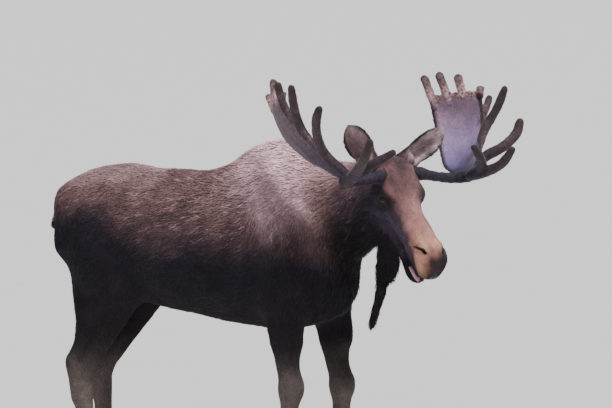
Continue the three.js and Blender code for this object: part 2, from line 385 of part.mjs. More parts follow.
// eyes in their sockets, nostrils
const eyeAt = (side) => h2w([EYE.a, EYE.b, side * EYE.l]);
function ball(c, r, w = 9, h = 6) { const g = new THREE.SphereGeometry(r * CM, w, h); g.rotateX(PI / 2); g.translate(...mul(c, CM)); return g; }
const eyes = { left: solid(ball(eyeAt(1), EYE.r)), right: solid(ball(eyeAt(-1), EYE.r)) };
let head = headWhole;
for (const s of [1, -1]) {
  head = head.subtract(solid(ball(eyeAt(s), EYE.r + GAP)));
  const n = new THREE.SphereGeometry(1, 8, 6); n.scale(3.0 * CM, 1.0 * CM, 1.5 * CM);
  const basis = new THREE.Matrix4().makeBasis(new THREE.Vector3(...HA), new THREE.Vector3(...HL), new THREE.Vector3(...HB));
  n.applyMatrix4(basis); n.translate(...mul(h2w([64.5, -13.8, s * 8.4]), CM));
  head = head.subtract(solid(n));
}
head = largest(head);

// tongue tip at the right corner of the lips
const tongueG = new THREE.SphereGeometry(1, 8, 5); tongueG.scale(TONGUE.r[0] * CM, TONGUE.r[2] * CM, TONGUE.r[1] * CM);
tongueG.applyMatrix4(new THREE.Matrix4().makeBasis(new THREE.Vector3(...HA), new THREE.Vector3(...HL), new THREE.Vector3(...HB)));
tongueG.translate(...mul(h2w([TONGUE.a, TONGUE.b, TONGUE.l]), CM));
const tongue = largest(solid(tongueG).subtract(headPlus).subtract(jawPlus.intersect(beyond(jawP, jawN, -GAP))));

// bell under the throat, tail
const bellPart = (p) => max(bodyField(p), bellField(p) - 0.9);
const bellLine = [[115.2, -9.2, 134], [115.2, -9.2, 130], [115, -9.1, 125.5], [114.2, -9, 121], [113, -8.7, 117], [111.8, -8.3, 113], [110.4, -7.9, 109], [109.4, -7.8, 105], [107.9, -7.5, 101], [106.5, -7.3, 97], [105, -7.1, 93]];
const bellWhole = solid(skin(bellPart, bellLine, () => [[0.94, -0.34, 0], [0.34, 0.94, 0]], 11, 1, 0, 25));
const bell = largest(bellWhole.subtract(neckPlus).subtract(headPlus).subtract(jawPlus).subtract(trunkPlus));
const tail = largest(solid(skin((p) => max(bodyField(p), tailField(p) - 0.6), line([-84.5, 0, 152.5], [-90.3, 0, 138.5], 5), () => [[0, 1, 0], [0.93, 0, -0.36]], 9, 1, 0, 20)).subtract(trunkPlus));

// ears: hollow leaf, rolled at the root
function earMesh(side) {
  const E = EAR[side], L = len(sub(E.T, E.B)), A = mul(sub(E.T, E.B), 1 / L);
  const W = unit(add(E.W, A, -dot(E.W, A))), N = mul(cross(A, W), E.hand);
  const nt = 10, nw = 7, top = [], bot = [];
  for (let i = 0; i < nt; i++) {
    const s = [-0.06, 0.06, 0.2, 0.35, 0.5, 0.64, 0.77, 0.88, 0.96, 1.0][i], hw = interp(s, EAR_W), cup = interp(s, EAR_CUP), th = interp(s, EAR_T);
    const rt = [], rb = [];
    for (let j = 0; j < nw; j++) {
      const x = -1 + 2 * j / (nw - 1), n = -cup * (1 - x * x) - 1.5 * s + 1.0, k = 1 / sqrt(1 + (2 * cup * x / max(hw, 1.5)) ** 2);
      const edge = sqrt(max(0.25, 1 - 0.7 * x * x)), sh = E.shift * sin(PI * min(s + 0.1, 0.9) / 1.4);
      const nx = 2 * cup * x / max(hw, 1.5) * k, c = (d) => h2w(add(add(add(E.B, A, s * L), W, x * hw + sh - nx * d), N, n + k * d));
      rt.push(c(th * edge)); rb.push(c(-th * edge));
    }
    top.push(rt); bot.push(rb);
  }
  return plate(top, bot);
}
const ears = {}; for (const s of ['left', 'right']) ears[s] = largest(solid(earMesh(s)).subtract(headPlus).subtract(neckPlus));

// antlers: beam, brow fork and palm with its points
function palmFrame(side, t, x) {
  const P = PALM[side], c = (pts) => new THREE.CatmullRomCurve3(pts.map((p) => new THREE.Vector3(...p)), false, 'centripetal');
  const R = c(P.rear), F = c(P.front), e = 0.01, t0 = clamp(t - e, 0, 1), t1 = clamp(t + e, 0, 1);
  const r = R.getPoint(t).toArray(), f = F.getPoint(t).toArray();
  const along = sub(mul(add(R.getPoint(t1).toArray(), F.getPoint(t1).toArray()), 0.5), mul(add(R.getPoint(t0).toArray(), F.getPoint(t0).toArray()), 0.5));
  let n = unit(cross(sub(f, r), along)); if (n[2] < 0) n = mul(n, -1);
  return { p: add(add(r, sub(f, r), (x + 1) / 2), n, P.cup * (1 - x * x) * min(1, t * 2.5 + 0.25)), n };
}
const mirror = (side, p) => side === 'left' ? p : [p[0], p[1], -p[2]];
function palmMesh(side) {
  const nt = 8, nw = 6, top = [], bot = [];
  for (let i = 0; i < nt; i++) {
    const t = i / (nt - 1), rt = [], rb = [];
    for (let j = 0; j < nw; j++) {
      const x = -1 + 2 * j / (nw - 1), { p, n } = palmFrame(side, t, x);
      const th = mix(PALM_T[0], PALM_T[1], min(1, t * 1.6)) * sqrt(max(0.2, 1 - abs(x) ** 4 * 0.75)) * (i === nt - 1 ? 0.6 : 1);
      rt.push(h2w(mirror(side, add(p, n, th)))); rb.push(h2w(mirror(side, add(p, n, -th))));
    }
    top.push(rt); bot.push(rb);
  }
  return plate(top, bot);
}
function antler(side) {
  const m = (pts) => pts.map((p) => mirror(side, p));
  const beamMake = (g) => bar(m(BEAM[side]), BEAM_R, 9, 8, 1, g);
  const [beam0, beamPlus] = withGap(beamMake);
  const browMake = (g) => solid(bar(m(BROW[side].inner), BROW_R.inner, 6, 6, 1, g)).add(solid(bar(m(BROW[side].outer), BROW_R.outer, 6, 6, 1, g)));
  let palm = solid(palmMesh(side));
  for (const k in POINTS[side]) {
    const q = POINTS[side][k], start = palmFrame(side, ...q.from).p, pts = [start, ...q.via, q.tip];
    palm = palm.add(solid(bar(m(pts), q.r, q.via.length > 2 ? 6 : q.via.length > 1 ? 5 : q.via.length ? 3 : 2, 5, 1)));
  }
  return {
    beam: largest(beam0.subtract(headPlus)),
    brow: largest(browMake(0).subtract(beamPlus)),
    palm: largest(palm.subtract(beamPlus).subtract(browMake(GAP))) };
}
const antlers = { left: antler('left'), right: antler('right') };

// legs, parted at knee and hock, on two hooves and two dewclaws each
function clawRings(L, side) {    // one half of the cloven hoof: flat sole, straight inner wall, domed outer wall
  const foot = L.j[4], rows = [], seg = 10, cx = foot[0] + 1.6, y0 = L.y * foot[1] + side * HOOF.split / 2;
  const outline = (z) => {
    const k = z / HOOF.height, fwd = mix(HOOF.length * 0.56, HOOF.length * 0.31, k), back = mix(HOOF.length * 0.44, HOOF.length * 0.36, k);
    return Array.from({ length: seg }, (_, j) => {
      const th = 2 * PI * j / seg, c = cos(th), s = sin(th), across = (1 + Math.sign(s) * pow(abs(s), s > 0 ? 0.85 : 0.5)) / 2;
      const toe = c > 0 ? 1 - 0.42 * c * c : 1 - 0.12 * c * c;
      return [cx - 1.2 * k + (c > 0 ? fwd : back) * Math.sign(c) * pow(abs(c), 0.85), y0 + side * HOOF.width * mix(1, 0.84, k) * across * toe, z];
    });
  };
  const centre = (r, z) => [r.reduce((t, p) => t + p[0], 0) / seg, r.reduce((t, p) => t + p[1], 0) / seg, z];
  rows.push(centre(outline(0), 0));
  for (const k of [0, 0.45, 1]) rows.push(outline(HOOF.height * k));
  rows.push(centre(outline(HOOF.height), HOOF.height));
  return closedLoft(rows, seg);
}
const legParts = {};
for (const name in LEGS) {
  const L = LEGS[name], J = L.j.map(([x, y, z]) => [x, L.y * y, z]);
  const part = (p) => legField(p, L);
  const zTop = L.fore ? 122 : 124, zs = [], n = 17;
  for (let i = 0; i < n; i++) zs.push(mix(zTop, 8, pow(i / (n - 1), 0.92)));
  const centre = (z) => {
    let k = 0; while (k < 3 && z < J[k + 1][2]) k++;
    const t = clamp((z - J[k][2]) / (J[k + 1][2] - J[k][2]), 0, 1); return [mix(J[k][0], J[k + 1][0], t), mix(J[k][1], J[k + 1][1], t), z];
  };
  const C = zs.map(centre);
  const make = (g) => skin(part, C, () => [[1, 0, 0], [0, 1, 0]], 9, 1, g, 40);
  const [leg0, legPlus] = withGap(make);
  let leg = leg0.subtract(trunkPlus);
  const claws = {};
  for (const [k, s] of [['inner', -L.y], ['outer', L.y]]) {
    claws[k] = solid(clawRings(L, s));
  }
  const zk = J[2][2];
  const upper = largest(leg.intersect(slab(zk + GAP / 2, 200))), lower = largest(leg.intersect(slab(HOOF.height + GAP, zk - GAP / 2)));
  const dew = {};
  for (const [k, s] of [['inner', -L.y], ['outer', L.y]]) {
    const g = new THREE.CylinderGeometry(DEWCLAW.r * CM, DEWCLAW.r * 0.62 * CM, DEWCLAW.length * CM, 7, 1); g.rotateX(PI / 2);
    g.rotateY(rad(-28)); g.translate((J[3][0] - DEWCLAW.back) * CM, (J[3][1] + s * DEWCLAW.out) * CM, DEWCLAW.up * CM);
    dew[k] = largest(solid(g).subtract(legPlus));
  }
  legParts[name] = { upper, lower, claws, dew };
}

// ---------------------------------------------------------------- the model
const finish = {
  coat: new THREE.MeshStandardMaterial({ color: 0x4a372f, roughness: 0.95, metalness: 0 }),
  dark: new THREE.MeshStandardMaterial({ color: 0x221c20, roughness: 0.95, metalness: 0 }),
  face: new THREE.MeshStandardMaterial({ color: 0x6b4a3c, roughness: 0.95, metalness: 0 }),
  leg: new THREE.MeshStandardMaterial({ color: 0x5c5048, roughness: 0.95, metalness: 0 }),
  velvet: new THREE.MeshStandardMaterial({ color: 0x5d4b50, roughness: 0.9, metalness: 0 }),
  horn: new THREE.MeshStandardMaterial({ color: 0x1d1a19, roughness: 0.45, metalness: 0 }),
  eye: new THREE.MeshStandardMaterial({ color: 0x120c0a, roughness: 0.08, metalness: 0 }),
  tongue: new THREE.MeshStandardMaterial({ color: 0xb9747a, roughness: 0.4, metalness: 0 }) };
const moose = new THREE.Group();
function node(name, man, material) {
  const mesh = new THREE.Mesh(geometryOf(man), material.clone()); mesh.name = name; moose.add(mesh);
}
node('trunk', trunk, finish.coat); node('neck', neck, finish.coat); node('head', head, finish.face);
node('lower_jaw', jaw, finish.dark); node('tongue', tongue, finish.tongue); node('bell', bell, finish.dark);
node('tail', tail, finish.coat);
for (const s of ['left', 'right']) {
  node(`ear_${s}`, ears[s], finish.face); node(`eye_${s}`, eyes[s], finish.eye);
  for (const k of ['beam', 'brow', 'palm']) node(`antler_${s}_${k}`, antlers[s][k], finish.velvet);
}
for (const n in legParts) {
  const q = legParts[n]; node(`leg_${n}_upper`, q.upper, finish.dark); node(`leg_${n}_lower`, q.lower, finish.leg);
  for (const k of ['inner', 'outer']) { node(`hoof_${n}_${k}`, q.claws[k], finish.horn); node(`dewclaw_${n}_${k}`, q.dew[k], finish.horn); }
}
// origin: centre of the model's box, on the ground
moose.updateMatrixWorld(true);
const box = new THREE.Box3().setFromObject(moose, true), mid = box.getCenter(new THREE.Vector3());
moose.position.set(-mid.x, -mid.y, 0);
export default moose;
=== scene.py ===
# Bull moose in summer coat, antlers in velvet: the looks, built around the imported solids.
# Everything is worked out in centimetres in the animal's own axes (X forward along the
# trunk, Y to its left, Z up) and moved into the frame, in metres, when a mesh is made.
import math
import time
from concurrent.futures import ThreadPoolExecutor
import bmesh
import bpy
import numpy as np
from mathutils import Matrix, Vector


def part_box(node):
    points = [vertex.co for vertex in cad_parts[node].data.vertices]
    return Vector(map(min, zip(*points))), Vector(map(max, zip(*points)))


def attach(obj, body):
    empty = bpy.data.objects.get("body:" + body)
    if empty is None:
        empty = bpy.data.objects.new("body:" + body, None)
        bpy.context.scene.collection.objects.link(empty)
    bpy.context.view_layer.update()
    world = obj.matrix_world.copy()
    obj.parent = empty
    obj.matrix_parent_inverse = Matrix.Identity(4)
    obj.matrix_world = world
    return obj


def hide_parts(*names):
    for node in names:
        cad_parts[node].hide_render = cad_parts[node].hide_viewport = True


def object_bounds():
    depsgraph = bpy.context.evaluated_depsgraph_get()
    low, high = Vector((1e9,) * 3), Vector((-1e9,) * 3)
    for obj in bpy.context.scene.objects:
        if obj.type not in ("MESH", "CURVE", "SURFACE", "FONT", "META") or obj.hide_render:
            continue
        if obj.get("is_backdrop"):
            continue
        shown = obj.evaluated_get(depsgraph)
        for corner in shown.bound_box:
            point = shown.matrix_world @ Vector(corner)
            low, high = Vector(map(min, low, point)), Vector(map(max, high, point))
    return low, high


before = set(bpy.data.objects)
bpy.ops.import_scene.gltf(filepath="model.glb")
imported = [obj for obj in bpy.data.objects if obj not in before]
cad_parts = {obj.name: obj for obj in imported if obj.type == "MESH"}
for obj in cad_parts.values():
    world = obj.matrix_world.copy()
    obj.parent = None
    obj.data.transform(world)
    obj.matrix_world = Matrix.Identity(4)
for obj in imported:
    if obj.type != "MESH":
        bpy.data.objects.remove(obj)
CAD_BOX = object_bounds()
T0 = time.time()
rng = np.random.default_rng(165)


def log(*a):
    print("[moose] %5.1fs" % (time.time() - T0), *a, flush=True)


# ------------------------------------------------------------------ where the frame sits
# the inner claw of the right fore hoof is 13.2 cm long and stands at a known place
_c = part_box("hoof_front_right_inner")
SHIFT = np.array([_c[1].x * 100 - 72.992, _c[0].y * 100 + 17.786, 0.0])


def metres(v):
    return (np.asarray(v, float) + SHIFT) / 100.0


# ------------------------------------------------------------------ driving dimensions, cm
HEAD = dict(poll=(119.7, -9.7, 177.9), yaw=32.0, pitch=43.0, roll=1.0, scale=0.93)
TRUNK = [  # x, top z, bottom z, half width, z of widest, roundness above, below
    (-86, 153, 124, 14, 140, 2.2, 2.2), (-75, 163.5, 113, 21.5, 140, 2.2, 2.2),
    (-60, 170.5, 106, 27, 138, 2.2, 2.2), (-45, 172, 102, 29, 136, 2.1, 2.2),
    (-25, 169.5, 98, 32, 131, 2.0, 2.2), (0, 167.5, 94, 34, 126, 2.0, 2.2),
    (18, 171.5, 91, 34, 124, 1.9, 2.2), (33, 180.5, 89, 32, 124, 1.75, 2.2),
    (47, 185, 88, 30, 124, 1.65, 2.2), (60, 182, 89, 28, 124, 1.65, 2.2),
    (74, 173, 95, 24, 126, 1.8, 2.1), (91.5, 162, 108, 15, 132, 2.0, 2.0)]
TRUNK_CAPS = (15.0, 24.0)
HEADL = [  # along the face, top, bottom, half width, widest, roundness above, below
    (-8, -7, -22, 7, -13, 2.2, 2.2), (0, -1.5, -27, 9.2, -12, 2.4, 2.2), (7, -0.2, -29.5, 10.6, -10, 2.5, 2.2),
    (14, -1.2, -30, 11.0, -10, 2.5, 2.2), (20, -3.0, -29, 10.6, -11, 2.4, 2.2), (27, -4.6, -27.5, 9.0, -14, 2.2, 2.3),
    (36, -5.6, -26, 7.6, -15, 2.2, 2.4), (46, -4.8, -25, 7.4, -15, 2.3, 2.6), (55, -5.2, -25, 7.3, -14.5, 2.4, 2.8),
    (62, -7.4, -25, 7.2, -15.5, 2.4, 2.8), (67.5, -10.7, -24.5, 6.6, -16.5, 2.4, 2.6), (72.8, -15.2, -21.8, 4.6, -18, 2.3, 2.4)]
HEAD_CAPS = (6.0, 6.0)
JAWL = [
    (6, -19, -35, 5.5, -26, 2.2, 2.2), (18, -20, -36, 6.4, -27, 2.2, 2.2), (32, -22, -34.5, 5.8, -28, 2.2, 2.2),
    (46, -25, -34, 5.0, -29.5, 2.2, 2.2), (56, -27, -36, 4.8, -31.5, 2.2, 2.2), (65, -26.5, -34, 4.0, -30, 2.2, 2.2)]
JAW_CAPS = (8.0, 6.0)
LEGS = dict(
    front_right=dict(y=-1, fore=True, j=[(64, 20, 140), (59.3, 21, 102), (63.3, 18.5, 58), (60, 18, 24), (64, 18, 9)]),
    front_left=dict(y=1, fore=True, j=[(66, 20, 140), (62.1, 21, 102), (72.1, 18.5, 58), (72, 18, 24), (76, 18, 9)]),
    hind_right=dict(y=-1, fore=False, j=[(-58, 17, 134), (-37, 20, 107), (-63, 18, 64), (-60, 17, 24), (-56, 17, 9)]),
    hind_left=dict(y=1, fore=False, j=[(-61, 17, 134), (-45, 20, 108), (-73, 18, 64), (-71, 17, 24), (-67, 17, 9)]))
FORE_R = [(17, 10), (9.5, 8), (5.2, 4.8), (4.0, 3.7), (4.2, 4.2)]
HIND_R = [(19, 12), (13, 9.5), (6.0, 4.6), (4.3, 3.8), (4.3, 4.2)]
EAR = dict(
    left=dict(B=(-5.8, -9.2, 11), T=(-9.7, 14.5, 29.5), W=(3.4, -3.7, 10.7), shift=2.0, hand=1),
    right=dict(B=(-5.8, -9.2, -11), T=(-10.5, 13.5, -29), W=(1.5, -10.4, -9.1), shift=0.5, hand=-1))
EAR_W = np.array([(-0.12, 3.0), (0, 3.4), (0.15, 5.2), (0.35, 7.0), (0.55, 7.4), (0.75, 6.4), (0.9, 4.4), (0.97, 2.4), (1.0, 1.0), (1.05, -1.2)])
EAR_CUP = np.array([(0, 7.0), (0.2, 6.0), (0.5, 4.2), (0.8, 2.2), (1.0, 0.8)])
EAR_T = np.array([(0, 1.3), (0.3, 0.75), (1.0, 0.45)])
EYE = dict(a=18.9, b=-12.9, l=9.9, r=2.30)
PALM = dict(
    left=dict(rear=[(8, -10, 38.7), (-3, -17, 40.8), (-12.6, -22.5, 43), (-24, -24.3, 46), (-34, -24, 48.4), (-47, -20.5, 49.6), (-58, -10.5, 47.2)],
              front=[(22.6, 9.5, 37), (14, 9.5, 42.5), (5, 8.2, 47.5), (-7, 6.4, 53.5), (-20, 7.2, 60), (-29, 11, 61.3), (-35.5, 15.5, 60.3)], cup=4.0),
    right=dict(rear=[(8, -4, 38.6), (-3, -9, 40.6), (-12.6, -14, 42.8), (-24, -17, 45.8), (-34, -18, 48.3), (-47, -16.3, 49.5), (-58, -16, 47.8)],
               front=[(22.6, 7, 37), (14, 7.3, 42.5), (5, 8.2, 47.5), (-7, 10, 53.5), (-20, 12.5, 60), (-29, 14.8, 61.3), (-35.5, 14.5, 60.3)], cup=1.8))
PALM_T = (1.9, 1.1)
BEAM = dict(left=[(3, -7, 6), (9.5, -3.6, 10.8), (11.5, -4.8, 22), (12, -5.8, 31), (16, -1, 37.5), (21, 7, 38)],
            right=[(3, -7, 6), (9.5, -4.6, 10.8), (11.5, -6, 22), (12, -5.5, 31), (16, -1, 37.5), (21, 6, 38)])
BEAM_R = (3.6, 3.3, 2.7, 2.9, 3.4, 3.2)
BROW = dict(left=dict(inner=[(19, 3, 37.5), (25, 15, 36.5), (27.5, 25, 31.5), (28, 34.7, 23.1)], outer=[(19, 3, 37.5), (26.5, 12.5, 38.5), (32.5, 25, 42.5), (32.8, 37.8, 45.2)]),
            right=dict(inner=[(19, 2, 37.5), (25, 14, 36.5), (27.5, 24, 31.5), (28, 32.8, 23.1)], outer=[(19, 2, 37.5), (26, 16, 40), (32, 32, 43.5), (32.8, 46.6, 45)]))
BROW_R = dict(inner=(3.3, 2.8, 2.2, 1.5), outer=(3.2, 2.8, 2.4, 1.7))
POINTS = dict(
    left=dict(
        C=((0.04, 0.85), [(12.5, 10, 46), (13, 18, 54), (10, 25, 61)], (4.6, 31.3, 63.9), (2.6, 2.8, 2.6, 2.4, 1.8)),
        D=((0.42, 0.8), [(-12, 7.5, 57.5), (-17, 17, 63)], (-22.9, 28.9, 67), (2.2, 2.5, 2.2, 1.6)),
        E=((0.68, 0.85), [(-27, 8.5, 64)], (-34, 10.4, 68.5), (1.8, 1.9, 1.4)),
        F=((0.9, 0.92), [], (-35.5, 17, 60.8), (1.5, 1.3)), G=((0.93, 0.15), [], (-54.1, 8.1, 56.9), (1.7, 1.6)),
        H=((0.92, -0.4), [], (-62.6, 1.7, 50.8), (1.7, 1.5)), I=((0.92, -0.88), [], (-66.8, -4.6, 45.4), (1.7, 1.4))),
    right=dict(
        C=((0.08, 0.85), [(6.5, 10, 49.5), (4.5, 21, 57), (3.5, 33, 61.5)], (4.6, 44.1, 63.6), (2.6, 2.7, 2.4, 2.2, 1.7)),
        D=((0.42, 0.8), [(-12, 11, 57), (-17, 22, 63)], (-22.9, 33.9, 66.9), (2.2, 2.4, 2.2, 1.6)),
        E=((0.64, 0.85), [(-27, 15, 63.5)], (-34, 25.4, 68.1), (2.0, 2.1, 1.6)),
        F=((0.9, 0.92), [], (-35.5, 16.5, 60.5), (1.5, 1.2)), G=((0.93, 0.15), [], (-54.1, 7.8, 56.9), (1.7, 1.6)),
        H=((0.92, -0.4), [], (-62.6, -0.6, 50.9), (1.7, 1.5)), I=((0.92, -0.88), [], (-66.4, -16.6, 47.1), (1.7, 1.4))))
HOOF = dict(length=13.2, width=5.4, height=9.2, split=0.3)
DEWCLAW = dict(up=13.2, back=2.7, out=2.7, r=1.6, length=5.0)
TONGUE = dict(a=62.0, b=-26.1, l=-4.2, r=(6.0, 1.05, 2.1))
# how deep the skin lies under the tips of the coat
DEPTH = dict(trunk=1.1, hump=0.9, neck=1.5, head=0.32, jaw=0.35, ear=0.10, bell=0.9, tail=1.2, thigh=0.8, shin=0.38)

# ------------------------------------------------------------------ the body as one smooth field
def smin(a, b, k):
    h = np.maximum(k - np.abs(a - b), 0) / k
    return np.minimum(a, b) - h * h * k * 0.25


def smax(a, b, k):
    return -smin(-a, -b, k)


def step(x, a, b):
    t = np.clip((x - a) / (b - a), 0, 1)
    return t * t * (3 - 2 * t)


def bump(x, c, w):
    return np.exp(-((x - c) / w) ** 2)


def table(rows, n=400):
    r = np.array(rows, float); x = r[:, 0]; xs = np.linspace(x[0], x[-1], n); out = [xs]
    h = np.diff(x)
    for c in range(1, r.shape[1]):
        y = r[:, c]; dl = np.diff(y) / h; m = np.zeros(len(x))
        for i in range(1, len(x) - 1):
            if dl[i - 1] * dl[i] > 0:
                w1 = 2 * h[i] + h[i - 1]; w2 = h[i] + 2 * h[i - 1]; m[i] = (w1 + w2) / (w1 / dl[i - 1] + w2 / dl[i])
        m[0] = dl[0]; m[-1] = dl[-1]
        k = np.clip(np.searchsorted(x, xs, side="right") - 1, 0, len(x) - 2); t = (xs - x[k]) / h[k]
        out.append((2 * t**3 - 3 * t**2 + 1) * y[k] + (t**3 - 2 * t**2 + t) * h[k] * m[k] + (-2 * t**3 + 3 * t**2) * y[k + 1] + (t**3 - t**2) * h[k] * m[k + 1])
    return np.array(out, np.float32)


def loft(tab, caps, t, v, w):
    x0, x1 = float(tab[0][0]), float(tab[0][-1])
    tc = np.clip(t, x0, x1)
    f = (tc - x0) / (x1 - x0) * (tab.shape[1] - 1); i = np.minimum(f.astype(np.int32), tab.shape[1] - 2); fr = f - i
    g = lambda c: tab[c][i] * (1 - fr) + tab[c][i + 1] * fr
    top, bot, hw, vc, nt, nb = g(1), g(2), g(3), g(4), g(5), g(6)
    s0 = np.clip(1 - (tc - x0) / caps[0], 0, 1); s1 = np.clip(1 - (x1 - tc) / caps[1], 0, 1)
    s = np.sqrt(np.maximum(1 - s0**2.3, 0.0004)) * np.sqrt(np.maximum(1 - s1**2.3, 0.0004))
    dv = v - vc; up = dv > 0
    h = np.where(up, top - vc, vc - bot) * s; n = np.where(up, nt, nb); hw = hw * s
    k = (np.abs(dv / h)**n + np.abs(w / hw)**n)**(1 / n) + 1e-6
    r = np.sqrt(dv * dv + w * w)
    d = np.where(k < 0.05, -np.minimum(h, hw) * (1 - k), r * (1 - 1 / k))
    ax = np.abs(t - tc)
    return np.where(ax > 0, np.sqrt(np.maximum(d, 0)**2 + ax * ax), d)


def unit(v):
    v = np.asarray(v, float); return v / np.linalg.norm(v)


def ecap(p, A, B, ra, rb, wa, wb, up=(0, 0, 1), cap=1.0):
    A = np.array(A, float); B = np.array(B, float); d = B - A; L = np.linalg.norm(d); d = d / L
    s = unit(np.cross(up, d)); n = np.cross(d, s)
    q = p - A.astype(np.float32); M = np.stack([d, s, n], 1).astype(np.float32); c = q @ M
    h = np.clip(c[:, 0] / L, 0, 1); qt = c[:, 0] - h * L
    Rn = ra + (rb - ra) * h; Rs = wa + (wb - wa) * h; Rt = 0.5 * (Rn + Rs) * cap
    a, b, t = c[:, 1] / Rs, c[:, 2] / Rn, qt / Rt
    k0 = np.sqrt(a * a + b * b + t * t); k1 = np.sqrt((a / Rs)**2 + (b / Rn)**2 + (t / Rt)**2) + 1e-9
    return np.where(k0 < 0.02, -np.minimum(Rs, Rn), k0 * (k0 - 1) / k1)


def ell(p, C, r, d=(1, 0, 0), up=(0, 0, 1)):
    d = unit(d); s = unit(np.cross(up, d)); n = np.cross(d, s)
    q = (p - np.array(C, np.float32)) @ np.stack([d, s, n], 1).astype(np.float32)
    a, b, c = q[:, 0] / r[0], q[:, 1] / r[1], q[:, 2] / r[2]
    k0 = np.sqrt(a * a + b * b + c * c); k1 = np.sqrt((a / r[0])**2 + (b / r[1])**2 + (c / r[2])**2) + 1e-9
    return np.where(k0 < 0.02, -min(r), k0 * (k0 - 1) / k1)


def _axes():
    e, t, r = [math.radians(HEAD[k]) for k in ("yaw", "pitch", "roll")]
    fh = np.array([math.cos(e), -math.sin(e), 0]); l = np.array([math.sin(e), math.cos(e), 0]); up = np.array([0, 0, 1.0])
    a = fh * math.cos(t) - up * math.sin(t); b = fh * math.sin(t) + up * math.cos(t)
    return a, b * math.cos(r) - l * math.sin(r), l * math.cos(r) + b * math.sin(r)


HA, HB, HL = _axes()
HM = np.stack([HA, HB, HL], 1)
POLL = np.array(HEAD["poll"]); HS = HEAD["scale"]


def h2w(q):
    return POLL + HS * (np.asarray(q, float) @ HM.T)


def w2h(p):
    return ((p - POLL.astype(np.float32)) @ HM.astype(np.float32)) / HS


TT, HT, JT = table(TRUNK), table(HEADL), table(JAWL)
FWD = (1, 0, 0.001)
SIDE = (0, 1, 0)


def mirrored(p):
    q = p.copy(); q[:, 1] = np.abs(q[:, 1]); return q


def leg_f(p, L):
    sg = L["y"]; J = [(x, sg * y, z) for x, y, z in L["j"]]; R = FORE_R if L["fore"] else HIND_R
    d = None
    for i in range(4):
        c = ecap(p, J[i], J[i + 1], R[i][0], R[i + 1][0], R[i][1], R[i + 1][1], FWD, 0.8)
        d = c if d is None else smin(d, c, 4.0)
    k = J[2]
    if L["fore"]:
        d = smin(d, ell(p, (k[0] + 0.7, k[1], k[2] + 1), (6.0, 4.9, 8.5)), 4)
        d = smin(d, ell(p, (J[3][0] - 0.5, J[3][1], J[3][2] - 1), (4.8, 4.5, 5.5)), 4)
        d = smin(d, ecap(p, (J[0][0] - 3, sg * 18, 122), (k[0] - 1.5, k[1], 84), 14, 7, 8, 5.6, FWD), 7)
    else:
        d = smin(d, ecap(p, (k[0] - 5, k[1], k[2] + 5), (k[0] - 2, k[1], k[2] - 14), 3.4, 3.0, 3.2, 3.0, FWD), 5)
        d = smin(d, ecap(p, (k[0] - 4.5, k[1], k[2] + 4), (J[1][0] - 14, J[1][1], J[1][2] + 2), 2.6, 7, 2.4, 4, FWD), 5)
        d = smin(d, ell(p, (J[3][0] - 0.5, J[3][1], J[3][2] - 1), (5.0, 4.6, 5.5)), 4)
        d = smin(d, ecap(p, (J[0][0] - 6, sg * 16, 128), (0.45 * J[1][0] + 0.55 * k[0] - 4, k[1], 88), 14, 7, 10, 5.6, FWD), 8)
    return d


def trunk_f(p):
    q = mirrored(p)
    d = loft(TT, TRUNK_CAPS, p[:, 0], p[:, 2], p[:, 1])
    d = smin(d, ell(q, (61, 15, 136), (32, 9.5, 19), (20, -1, -50), SIDE), 16)
    d = smin(d, ell(q, (-58, 12.5, 134), (30, 12, 22), (8, 3, -50), SIDE), 16)
    return smin(d, ell(q, (74.5, 0, 113), (16, 14, 18)), 10)


def neck_f(p):
    d = ecap(p, (66, 0, 148), (90, -2, 150.5), 31, 22.5, 21, 16.5, (0, 0, 1), 0.7)
    return smin(d, ecap(p, (90, -2, 150.5), (110, -6.5, 155), 22.5, 21, 16.5, 13.5, (0, 0, 1), 0.7), 8)


def head_f(q):
    m = q.copy(); m[:, 2] = np.abs(m[:, 2])
    d = loft(HT, HEAD_CAPS, q[:, 0], q[:, 1], q[:, 2])
    d = smin(d, ell(m, (20, -8.5, 9), (6, 3.4, 3.6), (1, -0.1, 0), SIDE), 3.5)
    d = smin(d, ell(m, (15, -20, 6.8), (12, 4.6, 9), (1, -0.2, 0), SIDE), 5)
    d = smin(d, ecap(m, (6, -5, 4), (8.5, -5.5, 10.2), 4.2, 3.8, 4.6, 4.2, SIDE), 3)
    d = smin(d, ell(m, (63, -13, 5.8), (7.5, 3.0, 5.5), (1, -0.2, 0), SIDE), 4)
    return d * HS


def jaw_f(q):
    return loft(JT, JAW_CAPS, q[:, 0], q[:, 1], q[:, 2]) * HS


def bell_f(p):
    d = ell(p, (115.0, -9.2, 127.5), (8.6, 3.4, 13.6), (0.94, -0.34, 0))
    d = smin(d, ecap(p, (112, -8.3, 121), (109.4, -7.8, 108), 4.6, 2.5, 2.7, 2.2, (1, 0, 0.01)), 3)
    return smin(d, ecap(p, (109.4, -7.8, 108), (104.2, -7, 92.2), 2.3, 2.2, 2.8, 2.3, (1, 0, 0.01)), 3)


def tail_f(p):
    return ecap(p, (-84, 0, 154), (-90.5, 0, 138), 3.6, 2.6, 4.2, 3.0, FWD, 0.9)


def ear_axes(side):
    E = EAR[side]; B, T, W = [np.array(E[k], float) for k in "BTW"]
    L = np.linalg.norm(T - B); A = (T - B) / L; W = W - (W @ A) * A; W /= np.linalg.norm(W)
    return B, A, W, np.cross(A, W) * E["hand"], L


EAR["left"]["T"] = tuple(np.array(EAR["left"]["B"]) + 0.87 * (np.array(EAR["left"]["T"]) - EAR["left"]["B"]))
EAR_AX = {s: ear_axes(s) for s in EAR}


def ear_coords(q, side):
    B, A, W, N, L = EAR_AX[side]
    r = (q - B.astype(np.float32)) @ np.stack([A, W, N], 1).astype(np.float32)
    s = r[:, 0] / L
    return s, r[:, 1] - EAR[side]["shift"] * np.sin(np.pi * np.clip(s + 0.1, 0, 0.9) / 1.4), r[:, 2]


